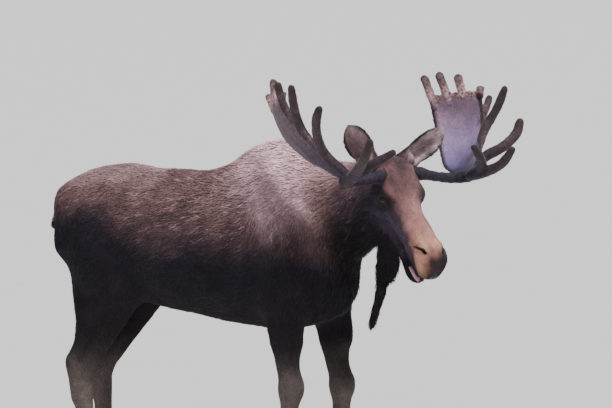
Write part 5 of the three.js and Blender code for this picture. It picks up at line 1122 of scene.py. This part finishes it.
def piece_of(p, W, q):
    """The coat piece each place belongs to."""
    k = W.argmax(1); k = np.where((k == 0) & (p[:, 0] > 84), 1, k); out = np.zeros(len(p), int); left = p[:, 1] > 0
    out[(k == 0) & (p[:, 0] <= 8)] = 0; out[(k == 0) & (p[:, 0] > 8)] = 2; out[k == 6] = 0; out[k == 1] = 4; out[k == 2] = 6
    sidel = np.where(k == 2, q[:, 2] > 0, left); out = out + sidel * np.isin(k, (0, 6, 1, 2))
    for i in (7, 8, 9, 10):
        out[k == i] = i + 1
    out[(k == 3) | (k == 4)] = 12; out[k == 5] = 13; return out


PIECES = ["coat_rear_right", "coat_rear_left", "coat_shoulder_right", "coat_shoulder_left", "coat_neck_right", "coat_neck_left", "coat_face_right", "coat_face_left",
          "coat_fore_right", "coat_fore_left", "coat_hind_right", "coat_hind_left", "coat_ears", "coat_bell"]
K_ALL = 1.0


def unwrap(i, p, q):
    """Places of the roots on an unwrap of the skin's own shape, one chart filling the square for each piece."""
    x, y, z = p.T
    if i < 4:
        s, t = x, np.arctan2(np.abs(y) + 0.01, z - 128)
    elif i < 6:
        s, t = x, np.arctan2(np.abs(y) + 0.01, z - (150 + 0.12 * (x - 90)))
    elif i < 8:
        s, t = q[:, 0], np.arctan2(np.abs(q[:, 2]) + 0.01, q[:, 1] + 15)
    elif i < 12:
        L = list(LEGS.values())[i - 8]; J = np.array(L["j"], float); cx = np.interp(z, J[::-1, 2], J[::-1, 0]); cy = L["y"] * np.interp(z, J[::-1, 2], J[::-1, 1])
        s, t = (np.arctan2(y - cy, x - cx) * 1.0, z)
    elif i == 12:
        sd = q[:, 2] > 0; sl, wl, nl = ear_coords(q.astype(np.float32), "left"); sr, wr, nr = ear_coords(q.astype(np.float32), "right")
        s0 = np.where(sd, sl, sr); w = np.where(sd, wl, wr); nn = np.where(sd, nl, nr); hw = np.interp(s0, EAR_CUP[:, 0], EAR_CUP[:, 1])
        mid = -hw * (1 - np.clip(w / 7, -1, 1)**2) - 1.5 * s0 + 1.0; inner = nn > mid
        s = (np.clip(w / 9, -1, 1) * 0.48 + 0.5 + sd + 2 * inner) / 4; t = s0
    else:
        s, t = np.arctan2(y + 8.5, x - 110), z
    s = (s - s.min()) / max(np.ptp(s), 1e-6); t = (t - t.min()) / max(np.ptp(t), 1e-6); return 0.004 + 0.988 * s, 0.004 + 0.988 * t


def grow():
    me = skin.data; me.calc_loop_triangles(); nt = len(me.loop_triangles); T = np.empty(nt * 3, np.int32); me.loop_triangles.foreach_get("vertices", T); T = T.reshape(-1, 3)
    Pt = P_SKIN[T]; area = 0.5 * np.linalg.norm(np.cross(Pt[:, 1] - Pt[:, 0], Pt[:, 2] - Pt[:, 0]), axis=1)
    c = Pt.mean(1); Wt = W_SKIN[T].mean(1); nt_ = N_SKIN[T].mean(1); S = style(c, nt_, Wt, w2h(c.astype(np.float32)).astype(float)); cover = S[:, 3] / (S[:, 0] * S[:, 1] * 0.62) * K_ALL
    cover *= np.clip(1 - 1.2 * B_SKIN[T].mean(1), 0, 1) * step(c[:, 2], 8.0, 8.8)
    expect = area * cover; cum = np.cumsum(expect); N = int(cum[-1]); u = (np.arange(N) + rng.random(N)) * (cum[-1] / N); ti = np.minimum(np.searchsorted(cum, u), len(T) - 1)
    r1, r2 = np.sqrt(rng.random(N)), rng.random(N); B = np.stack([1 - r1, r1 * (1 - r2), r1 * r2], 1)
    mixv = lambda A: (A[T[ti]] * B[..., None]).sum(1)
    p, n, W = mixv(P_SKIN), mixv(N_SKIN), mixv(W_SKIN); n /= np.linalg.norm(n, axis=1, keepdims=True); q = w2h(p.astype(np.float32)).astype(float)
    f = mixv(F_SKIN); f -= n * (f * n).sum(1, keepdims=True); f /= np.linalg.norm(f, axis=1, keepdims=True); s = np.cross(n, f)
    long_ = step(mixv(W_SKIN[:, [0, 1, 5]]).sum(1), 0.3, 0.8)
    jit = rng.normal(0, 1, N) * (0.10 + 0.07 * long_) + 0.22 * noise3(p, 5.5, 51) * long_
    f2 = f * np.cos(jit)[:, None] + s * np.sin(jit)[:, None]; s2 = np.cross(n, f2)
    S = style(p, n, W, q); Ln = S[:, 0] * (0.72 + 0.5 * rng.random(N)); Wd = S[:, 1] * (0.7 + 0.6 * rng.random(N)); H = S[:, 2] * (0.45 + 0.95 * rng.random(N)**1.3)
    clump = np.clip(0.5 + 0.9 * noise3(p, 4.0, 52), 0, 1); H *= 0.7 + 0.6 * clump; ed = np.linalg.norm(np.stack([q[:, 0] - EYE["a"], q[:, 1] - EYE["b"], np.abs(q[:, 2]) - EYE["l"]], 1), axis=1)
    nr = step(ed, EYE_R + 0.9, EYE_R + 4.5); nr = np.where(W[:, 2] > 0.4, nr, 1); Ln *= 0.35 + 0.65 * nr; H *= 0.3 + 0.7 * nr; Wd *= 0.6 + 0.4 * nr
    side = jit * 0.5 + rng.normal(0, 0.12, N)
    mid = p + f2 * (Ln * 0.42)[:, None] + s2 * (side * Ln * 0.10)[:, None]; tip = p + f2 * Ln[:, None] + s2 * (side * Ln * 0.35)[:, None]
    dm, dt = many(skin_f, mid), many(skin_f, tip)
    def grad(a):
        e = 0.6; g = np.stack([many(skin_f, a + np.eye(3)[k] * e) - many(skin_f, a - np.eye(3)[k] * e) for k in range(3)], 1); return g / np.maximum(np.linalg.norm(g, axis=1, keepdims=True), 1e-4)
    nm = n; ntp = grad(tip)
    lim = Ln * 0.5
    mid = mid + nm * np.clip(H * 0.62 - dm, -lim, lim)[:, None]; tip = tip + ntp * np.clip(H - dt, -lim * 1.2, lim * 1.2)[:, None]
    low = (p[:, 2] < 14) & (W[:, 7:].sum(1) > 0.4); out = n * np.array([1, 1, 0]); out /= np.maximum(np.linalg.norm(out, axis=1, keepdims=True), 0.2)
    mid[low] = (p + f2 * (Ln * 0.42)[:, None] + out * (0.5 * H + 0.35)[:, None])[low]; tip[low] = (p + f2 * Ln[:, None] + out * (0.8 * H + 1.0)[:, None])[low]; tip[low, 2] = np.maximum(tip[low, 2], 5.0)
    root = p - n * (0.10 + 0.02 * Ln)[:, None]; T2 = Wd * 0.5; th = np.minimum(Wd * 0.30, 0.16)
    M = marking(p, n, W, side_dists(p)); ls = rng.normal(0, 1, N); big = long_
    streak = noise3(np.stack([lie_coords(p, W)[:, 0] * 0.28, lie_coords(p, W)[:, 1], lie_coords(p, W)[:, 2]], 1), 1.6, 61)
    br = np.exp(0.16 * ls * (1 - 0.4 * W[:, 1]) + (0.30 * streak) * (0.35 + 0.65 * big) * (1 - 0.45 * W[:, 1])); top = np.clip(np.exp(-((p[:, 0] - 50) / 34)**2) * step(p[:, 2], 132, 165) + 0.5 * step(p[:, 2], 120, 150) * W[:, 0] * (1 - step(-p[:, 0], 15, 45) * (1 - step(p[:, 2], 144, 158))) + 0.10 * W[:, 1], 0, 1)
    tan = np.clip(step(rng.random(N) + 0.30 * streak, 0.66, 1.1) * top * big, 0, 1); M = mixc(M, COL["hump"] * 0.95, 0.30 * tan); M = M * br[:, None] * (1 + 0.14 * np.exp(-((p[:, 0] - 50) / 26)**2) * step(p[:, 2], 150, 172))[:, None]
    M = mixc(M, COL["skin"] * 0.5, 0.5 * mixv(B_SKIN[:, None])[:, 0])
    keep = np.linalg.norm(tip - p, axis=1) > 0.2 * Ln
    # nothing grows through the eyes
    for sg in (1, -1):
        C = h2w(np.array([EYE["a"], EYE["b"], sg * EYE["l"]])); keep &= (np.linalg.norm(tip - C, axis=1) > EYE["r"] + 0.42) & (np.linalg.norm(mid - C, axis=1) > EYE["r"] + 0.35)
    pc = piece_of(p, W, q); objs = []; rnd = rng.random(N)
    for i, name in enumerate(PIECES):
        m = np.nonzero((pc == i) & keep)[0]
        if len(m) > 19600:
            m = m[np.sort(rng.permutation(len(m))[:19600])]
        R, Mi, Tp, ss, nn, tw, tt = root[m], mid[m], tip[m], s2[m], n[m], T2[m], th[m]; k = len(m)
        V = np.stack([R - ss * (tw * 0.75)[:, None], R + ss * (tw * 0.75)[:, None], R + nn * (tt * 1.3)[:, None],
                      Mi - ss * tw[:, None] - nn * (tt * 0.5)[:, None], Mi + ss * tw[:, None] - nn * (tt * 0.5)[:, None], Mi + nn * (tt * 0.8)[:, None], Tp], 1)
        base = (np.arange(k) * 7)[:, None]
        quads = np.concatenate([base + np.array(c) for c in ((0, 3, 5, 2), (2, 5, 4, 1), (1, 4, 3, 0))]); tris = np.concatenate([base + np.array(c) for c in ((3, 6, 5), (5, 6, 4), (4, 6, 3), (0, 2, 1))])
        o = mesh_obj(name, V.reshape(-1, 3), [quads, tris]); me = o.data
        nv = np.stack([nn - ss * 0.45, nn + ss * 0.45, nn, nn - ss * 0.5, nn + ss * 0.5, nn, nn * 0.9 + f2[m] * 0.2], 1); nv /= np.linalg.norm(nv, axis=2, keepdims=True)
        me.normals_split_custom_set_from_vertices(nv.reshape(-1, 3).astype(np.float32))
        put_attr(o, "Mark", "FLOAT_COLOR", np.repeat(np.c_[M[m], np.ones(k)], 7, 0))
        ac = np.tile(np.array([-1, 1, 0, -1, 1, 0, 0], float), k); al = np.tile(np.array([0, 0, 0, 0.42, 0.42, 0.42, 1.0]), k)
        put_attr(o, "Hair", "FLOAT_VECTOR", np.stack([ac, al, np.repeat(rnd[m], 7)], 1))
        u, v = unwrap(i, p[m], q[m]); uv = me.uv_layers.new(name="OFBake"); vi = np.empty(len(me.loops), np.int32); me.loops.foreach_get("vertex_index", vi)
        U = np.repeat(u, 7) + ac * 0.0013; Vv = np.repeat(v, 7) + (al - 0.5) * 0.003; uv.data.foreach_set("uv", np.stack([U[vi], Vv[vi]], 1).astype(np.float32).ravel())
        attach(o, "root"); objs.append(o); log(name, k, "tufts", len(me.polygons))
    return objs


coat = grow()

# ------------------------------------------------------------------ materials
class Mat:
    def __init__(self, name):
        self.m = bpy.data.materials.new(name); self.m.use_nodes = True; self.t = self.m.node_tree
        self.b = next(n for n in self.t.nodes if n.type == "BSDF_PRINCIPLED")

    def put(self, sock, v):
        if isinstance(v, bpy.types.NodeSocket):
            self.t.links.new(v, sock)
        elif v is not None:
            sock.default_value = v

    def set(self, **k):
        for a, v in k.items():
            self.put(self.b.inputs[a.replace("_", " ")], v)

    def attr(self, name, out="Color"):
        n = self.t.nodes.new("ShaderNodeAttribute"); n.attribute_name = name; return n.outputs[out]

    def obj(self):
        return self.t.nodes.new("ShaderNodeTexCoord").outputs["Object"]

    def math(self, op, a, b=None, clamp=False):
        n = self.t.nodes.new("ShaderNodeMath"); n.operation = op; n.use_clamp = clamp; self.put(n.inputs[0], a); self.put(n.inputs[1], b); return n.outputs[0]

    def vec(self, op, a, b=None, scale=None):
        n = self.t.nodes.new("ShaderNodeVectorMath"); n.operation = op; self.put(n.inputs[0], a); self.put(n.inputs[1], b)
        if scale is not None:
            self.put(n.inputs["Scale"], scale)
        return n.outputs["Value"] if op in ("LENGTH", "DOT_PRODUCT", "DISTANCE") else n.outputs[0]

    def split(self, v):
        n = self.t.nodes.new("ShaderNodeSeparateXYZ"); self.put(n.inputs[0], v); return n.outputs

    def join(self, x, y, z):
        n = self.t.nodes.new("ShaderNodeCombineXYZ"); self.put(n.inputs[0], x); self.put(n.inputs[1], y); self.put(n.inputs[2], z); return n.outputs[0]

    def noise(self, v, scale=1.0, detail=2.0, rough=0.5, lac=2.0):
        n = self.t.nodes.new("ShaderNodeTexNoise"); self.put(n.inputs["Vector"], v); n.inputs["Scale"].default_value = scale
        n.inputs["Detail"].default_value = detail; n.inputs["Roughness"].default_value = rough; n.inputs["Lacunarity"].default_value = lac; return n.outputs["Fac"]

    def voronoi(self, v, scale, feature="F1"):
        n = self.t.nodes.new("ShaderNodeTexVoronoi"); n.feature = feature; self.put(n.inputs["Vector"], v); n.inputs["Scale"].default_value = scale; return n.outputs["Distance"]

    def rng(self, v, a, b, c, d):
        n = self.t.nodes.new("ShaderNodeMapRange"); self.put(n.inputs[0], v)
        for i, x in zip((1, 2, 3, 4), (a, b, c, d)):
            n.inputs[i].default_value = x
        return n.outputs[0]

    def ramp(self, v, *stops):
        n = self.t.nodes.new("ShaderNodeValToRGB"); self.put(n.inputs[0], v); e = n.color_ramp.elements
        while len(e) < len(stops):
            e.new(0.5)
        for k, (pos, c) in zip(e, stops):
            k.position = pos; k.color = (*c, 1.0)
        return n.outputs[0]

    def mix(self, f, a, b, kind="MIX"):
        n = self.t.nodes.new("ShaderNodeMix"); n.data_type = "RGBA"; n.blend_type = kind; n.clamp_factor = True
        self.put(n.inputs[0], f); self.put(n.inputs[6], a if isinstance(a, bpy.types.NodeSocket) else (*a, 1.0)); self.put(n.inputs[7], b if isinstance(b, bpy.types.NodeSocket) else (*b, 1.0)); return n.outputs[2]

    def bump(self, h, dist, strength=1.0, normal=None):
        n = self.t.nodes.new("ShaderNodeBump"); self.put(n.inputs["Height"], h); n.inputs["Distance"].default_value = dist; self.put(n.inputs["Strength"], strength); self.put(n.inputs["Normal"], normal); return n.outputs[0]

    def on(self, *objs):
        for o in objs:
            o.data.materials.clear(); o.data.materials.append(self.m)
        return self


GAIN = 1.0
fur = Mat("fur"); h = fur.split(fur.attr("Hair", "Vector")); mark = fur.attr("Mark")
line = fur.noise(fur.join(fur.math("MULTIPLY_ADD", h[0], 3.4), fur.math("MULTIPLY", h[1], 0.9), fur.math("MULTIPLY", h[2], 97.0)), 1.0, 3.0, 0.6)
fine = fur.noise(fur.join(fur.math("MULTIPLY", h[0], 9.0), fur.math("MULTIPLY", h[1], 1.6), fur.math("MULTIPLY", h[2], 61.0)), 1.0, 1.0, 0.5)
f1 = fur.rng(line, 0.28, 0.72, 0.62, 1.42); f2 = fur.rng(fine, 0.3, 0.7, 0.84, 1.18); f3 = fur.rng(h[1], 0.0, 0.75, 0.62, 1.10)
mot = fur.rng(fur.noise(fur.obj(), 16.0, 3.0, 0.6), 0.3, 0.7, 0.86, 1.14)
f4 = fur.rng(fur.noise(fur.join(fur.math("MULTIPLY", h[0], 1.6), fur.math("MULTIPLY", h[1], 5.5), fur.math("MULTIPLY", h[2], 53.0)), 1.0, 2.0, 0.5), 0.32, 0.68, 0.70, 1.32)
spk = fur.rng(fur.noise(fur.obj(), 190.0, 2.0, 0.6), 0.32, 0.68, 0.78, 1.26)
k = fur.math("MULTIPLY", fur.math("MULTIPLY", fur.math("MULTIPLY", f1, f2), fur.math("MULTIPLY", f3, mot)), fur.math("MULTIPLY", f4, spk))
fur.set(Base_Color=fur.vec("SCALE", mark, scale=k), Roughness=fur.rng(line, 0.2, 0.8, 0.54, 0.74), Sheen_Weight=0.03, Sheen_Roughness=0.45)
fur.b.inputs["Specular IOR Level"].default_value = 0.16
fur.set(Normal=fur.bump(fur.math("ADD", line, fur.math("MULTIPLY", fine, 0.6)), 0.0014, 0.7)); fur.on(*coat)

hide = Mat("hide"); lv = hide.attr("Lie", "Vector"); bare = hide.attr("Bare", "Fac"); mark = hide.attr("Mark")
s1 = hide.noise(hide.vec("MULTIPLY", lv, (0.42, 3.0, 3.0)), 1.0, 3.0, 0.6); s2 = hide.noise(hide.vec("MULTIPLY", lv, (0.9, 7.0, 7.0)), 1.0, 2.0, 0.5)
pores = hide.voronoi(hide.obj(), 420.0); mottle = hide.noise(hide.obj(), 22.0, 4.0, 0.6)
hair = hide.math("SUBTRACT", 1.0, bare); hl = hide.math("MULTIPLY", hide.rng(s1, 0.3, 0.7, 0.70, 1.28), hide.rng(s2, 0.3, 0.7, 0.84, 1.18))
hl = hide.math("ADD", hide.math("MULTIPLY", hl, hair), hide.math("MULTIPLY", bare, hide.rng(pores, 0.0, 0.7, 0.7, 1.15)))
hide.set(Base_Color=hide.vec("SCALE", mark, scale=hide.math("MULTIPLY", hl, hide.rng(mottle, 0.3, 0.7, 0.8, 1.15))), Roughness=hide.math("SUBTRACT", 0.78, hide.math("MULTIPLY", bare, 0.36)))
hide.b.inputs["Specular IOR Level"].default_value = 0.3; hide.set(Sheen_Weight=0.08)
bh = hide.bump(hide.math("ADD", s1, hide.math("MULTIPLY", s2, 0.6)), 0.0022, hide.math("MULTIPLY", hair, 0.75)); hide.set(Normal=hide.bump(pores, 0.0007, hide.math("MULTIPLY", bare, 0.8), bh)); hide.on(skin)

vel = Mat("velvet"); rimv, tipv, beamv = [vel.attr(a, "Fac") for a in ("Rim", "Tip", "Beam")]; undv, edgev = [vel.attr(a, "Fac") for a in ("Under", "Edge")]; ob = vel.obj(); n1 = vel.noise(ob, 14.0, 4.0, 0.6); n2 = vel.noise(ob, 75.0, 3.0, 0.6); n3 = vel.noise(ob, 900.0, 2.0, 0.6)
# colour of the palm's inner face: the velvet's own grey-violet with a painted blue sky reflection in it
alongv = vel.attr("Along", "Fac"); palmc = vel.vec("SCALE", vel.ramp(vel.math("ADD", alongv, vel.math("MULTIPLY", n2, 0.06)), (0.08, tuple(srgb(112, 110, 164))), (0.42, tuple(srgb(146, 130, 182))), (0.70, tuple(srgb(160, 136, 174))), (0.92, tuple(srgb(164, 136, 156)))), scale=vel.rng(n1, 0.3, 0.75, 0.80, 1.08))
base = vel.mix(rimv, palmc, vel.ramp(n1, (0.3, tuple(srgb(38, 29, 33))), (0.6, tuple(srgb(66, 52, 56))), (0.8, tuple(srgb(96, 78, 82)))))
base = vel.mix(vel.math("MULTIPLY", undv, 0.92), base, vel.ramp(n2, (0.3, tuple(srgb(52, 40, 46))), (0.5, tuple(srgb(84, 67, 74))), (0.72, tuple(srgb(114, 94, 98)))))
base = vel.mix(vel.math("MULTIPLY", edgev, 0.8), base, vel.ramp(n2, (0.35, tuple(srgb(130, 92, 92))), (0.6, tuple(srgb(206, 172, 172)))))
base = vel.mix(vel.math("MULTIPLY", beamv, 0.9), base, vel.ramp(n2, (0.3, tuple(srgb(26, 22, 32))), (0.7, tuple(srgb(50, 42, 58))))); base = vel.mix(vel.math("MULTIPLY", tipv, 0.75), base, tuple(srgb(50, 36, 36)))
vein = vel.voronoi(vel.vec("ADD", ob, vel.join(vel.math("MULTIPLY", n1, 0.06), vel.math("MULTIPLY", n2, 0.02), 0.0)), 13.0, "DISTANCE_TO_EDGE"); vl = vel.rng(vein, 0.0, 0.10, 0.90, 1.0)
vel.set(Base_Color=vel.vec("SCALE", base, scale=vel.math("MULTIPLY", vl, vel.math("MULTIPLY", vel.rng(n2, 0.3, 0.7, 0.82, 1.15), vel.rng(n3, 0.3, 0.7, 0.85, 1.15)))),
        Roughness=vel.rng(n2, 0.3, 0.7, 0.62, 0.82), Sheen_Weight=0.18, Sheen_Roughness=0.35, Sheen_Tint=(0.86, 0.80, 0.92, 1.0))
vel.b.inputs["Specular IOR Level"].default_value = 0.25
vel.set(Normal=vel.bump(n3, 0.0006, 0.6, vel.bump(vel.math("ADD", n2, vel.math("MULTIPLY", vl, 0.6)), 0.003, 0.5))); vel.on(*antlers.values())

horn = Mat("horn"); up = horn.attr("Up", "Fac"); ob = horn.obj(); o3 = horn.split(ob); n1 = horn.noise(ob, 30.0, 4.0, 0.6); strand = horn.noise(horn.vec("MULTIPLY", ob, (420.0, 420.0, 18.0)), 1.0, 3.0, 0.6)
ringv = horn.math("SINE", horn.math("ADD", horn.math("MULTIPLY", up, 34.0), horn.math("MULTIPLY", n1, 5.0)))
hc = horn.ramp(horn.math("ADD", horn.math("MULTIPLY", up, 0.7), horn.math("MULTIPLY", n1, 0.4)), (0.15, tuple(srgb(24, 21, 21))), (0.6, tuple(srgb(38, 33, 32))), (1.0, tuple(srgb(70, 60, 54))))
horn.set(Base_Color=horn.vec("SCALE", hc, scale=horn.math("MULTIPLY", horn.rng(ringv, -1.0, 1.0, 0.92, 1.05), horn.rng(strand, 0.3, 0.7, 0.8, 1.2))), Roughness=horn.rng(n1, 0.3, 0.7, 0.30, 0.52))
horn.set(Normal=horn.bump(horn.math("ADD", horn.math("MULTIPLY", ringv, 0.25), strand), 0.0008, 0.45)); horn.on(*[o for p in feet.values() for o in p])

em = Mat("eyeball"); lo = em.split(em.attr("Local", "Vector")); ey, ez = lo[1], lo[2]; rr = em.math("SQRT", em.math("ADD", em.math("MULTIPLY", ey, ey), em.math("MULTIPLY", ez, ez)))
py = em.math("DIVIDE", ey, 0.36); pz = em.math("DIVIDE", ez, 0.19); pup = em.math("SQRT", em.math("ADD", em.math("MULTIPLY", py, py), em.math("MULTIPLY", pz, pz)))
rad = em.noise(em.vec("NORMALIZE", em.join(0.0, ey, ez)), 9.0, 3.0, 0.6)
iris = em.ramp(em.math("ADD", em.math("MULTIPLY", rr, 0.9), em.math("MULTIPLY", rad, 0.35)), (0.35, tuple(srgb(20, 12, 10))), (0.62, tuple(srgb(42, 26, 18))), (0.85, tuple(srgb(18, 12, 11))))
ec = em.mix(em.rng(rr, 0.66, 0.74, 0.0, 1.0), iris, em.ramp(em.noise(em.obj(), 300.0, 2.0), (0.3, tuple(srgb(20, 15, 15))), (0.7, tuple(srgb(38, 29, 27))))); ec = em.mix(em.rng(pup, 0.9, 1.1, 1.0, 0.0), ec, tuple(srgb(8, 8, 12)))
em.set(Base_Color=ec, Roughness=em.rng(em.noise(em.obj(), 120.0, 2.0), 0.3, 0.7, 0.10, 0.15), Coat_Weight=0.20, Coat_Roughness=0.02, Coat_IOR=1.3); em.b.inputs["Specular IOR Level"].default_value = 0.16; em.on(*eyes.values())

ld = Mat("lid"); ob = ld.obj(); w1 = ld.noise(ob, 260.0, 4.0, 0.6); w2 = ld.voronoi(ob, 700.0)
# lighter colour along the lower lid's rim: painted highlight
painted_lid_glint = ld.attr("PaintedLidGlint", "Fac")
ld.set(Base_Color=ld.mix(ld.math("MULTIPLY", painted_lid_glint, 0.85), ld.ramp(w1, (0.3, tuple(srgb(11, 9, 12))), (0.55, tuple(srgb(20, 16, 20))), (0.8, tuple(srgb(38, 31, 36)))), ld.ramp(w1, (0.3, tuple(srgb(52, 44, 52))), (0.7, tuple(srgb(92, 80, 90))))), Roughness=ld.rng(w1, 0.3, 0.7, 0.30, 0.50)); ld.b.inputs["Specular IOR Level"].default_value = 0.5
ld.set(Normal=ld.bump(ld.math("ADD", w1, ld.math("MULTIPLY", w2, 0.4)), 0.0008, 0.7)); ld.on(*lids.values())

tg = Mat("tongue"); ob = tg.obj(); w1 = tg.noise(ob, 60.0, 4.0, 0.6); w2 = tg.voronoi(ob, 650.0)
tg.set(Base_Color=tg.ramp(w1, (0.3, tuple(srgb(196, 128, 134))), (0.7, tuple(srgb(236, 184, 188)))), Roughness=tg.rng(w1, 0.3, 0.7, 0.25, 0.42), Normal=tg.bump(w2, 0.0009, 0.7)); tg.b.inputs["Subsurface Weight"].default_value = 0.12
tg.b.inputs["Subsurface Radius"].default_value = (0.012, 0.004, 0.003); tg.on(tongue)

FLESH = ["trunk", "neck", "head", "lower_jaw", "bell", "tail", "ear_left", "ear_right"] + [f"leg_{n}_{k}" for n in LEGS for k in ("upper", "lower")]
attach(skin, "root"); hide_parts(*FLESH)

# ------------------------------------------------------------------ camera
def make_camera():
    psi, eps, dist, sc = math.radians(30), math.radians(2.5), 2800.0, 1.93
    b = np.array([math.sin(psi) * math.cos(eps), -math.cos(psi) * math.cos(eps), math.sin(eps)]); e = np.array([math.cos(psi), math.sin(psi), 0.0]); u = np.cross(b, e)
    T = e * ((306 - 203) / sc) + u * ((495 - 204) / sc); C = metres(T + b * dist)
    cd = bpy.data.cameras.new("camera"); co = bpy.data.objects.new("camera", cd); bpy.context.scene.collection.objects.link(co)
    cd.sensor_width = 36; cd.lens = 36 * sc * dist / 612; cd.clip_end = 20000; cd.clip_start = 0.1
    co.matrix_world = Matrix(((e[0], u[0], b[0], C[0]), (e[1], u[1], b[1], C[1]), (e[2], u[2], b[2], C[2]), (0, 0, 0, 1)))
    bpy.context.scene.camera = co
    return co


camera = make_camera()

# ------------------------------------------------------------------ floor and lights
S = 3000.0; fme = bpy.data.meshes.new("floor"); fme.from_pydata([(-S, -S, 0), (S, -S, 0), (S, S, 0), (-S, S, 0)], [], [(0, 1, 2, 3)])
floor = bpy.data.objects.new("floor", fme); bpy.context.scene.collection.objects.link(floor); floor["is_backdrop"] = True
fm = Mat("floor"); fn = fm.noise(fm.obj(), 1.6, 3.0, 0.5); fm.set(Base_Color=fm.ramp(fn, (0.3, (0.70, 0.70, 0.69)), (0.7, (0.73, 0.73, 0.72))), Roughness=0.9, Normal=fm.bump(fm.noise(fm.obj(), 220.0, 2.0), 0.0006, 0.3)); fm.on(floor)


def sun(name, az, el, strength, angle, color=(1, 1, 1)):
    ldt = bpy.data.lights.new(name, "SUN"); ldt.energy = strength; ldt.angle = math.radians(angle); ldt.color = color
    o = bpy.data.objects.new(name, ldt); bpy.context.scene.collection.objects.link(o); a, e = math.radians(az), math.radians(el)
    b = Vector((math.sin(a) * math.cos(e), -math.cos(a) * math.cos(e), math.sin(e))); o.rotation_mode = "QUATERNION"; o.rotation_quaternion = (-b).to_track_quat("-Z", "Y"); return o


sun("key", 58, 60, 4.3, 14, (1.0, 0.97, 0.955)); sun("fill", -35, 35, 0.08, 60, (0.88, 0.93, 1.0)); sun("side", -28, 20, 0.5, 18, (0.88, 0.94, 1.0)); sun("rim", 170, 45, 0.8, 30)
w = bpy.data.worlds.new("room"); bpy.context.scene.world = w; w.use_nodes = True; bg = w.node_tree.nodes["Background"]; bg.inputs[0].default_value = (0.79, 0.82, 0.89, 1.0); bg.inputs[1].default_value = 0.33


def numbers(b):
    return [[float(c) for c in v] for v in b]


VIS_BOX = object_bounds()
log("bounds", numbers(CAD_BOX), numbers(VIS_BOX))
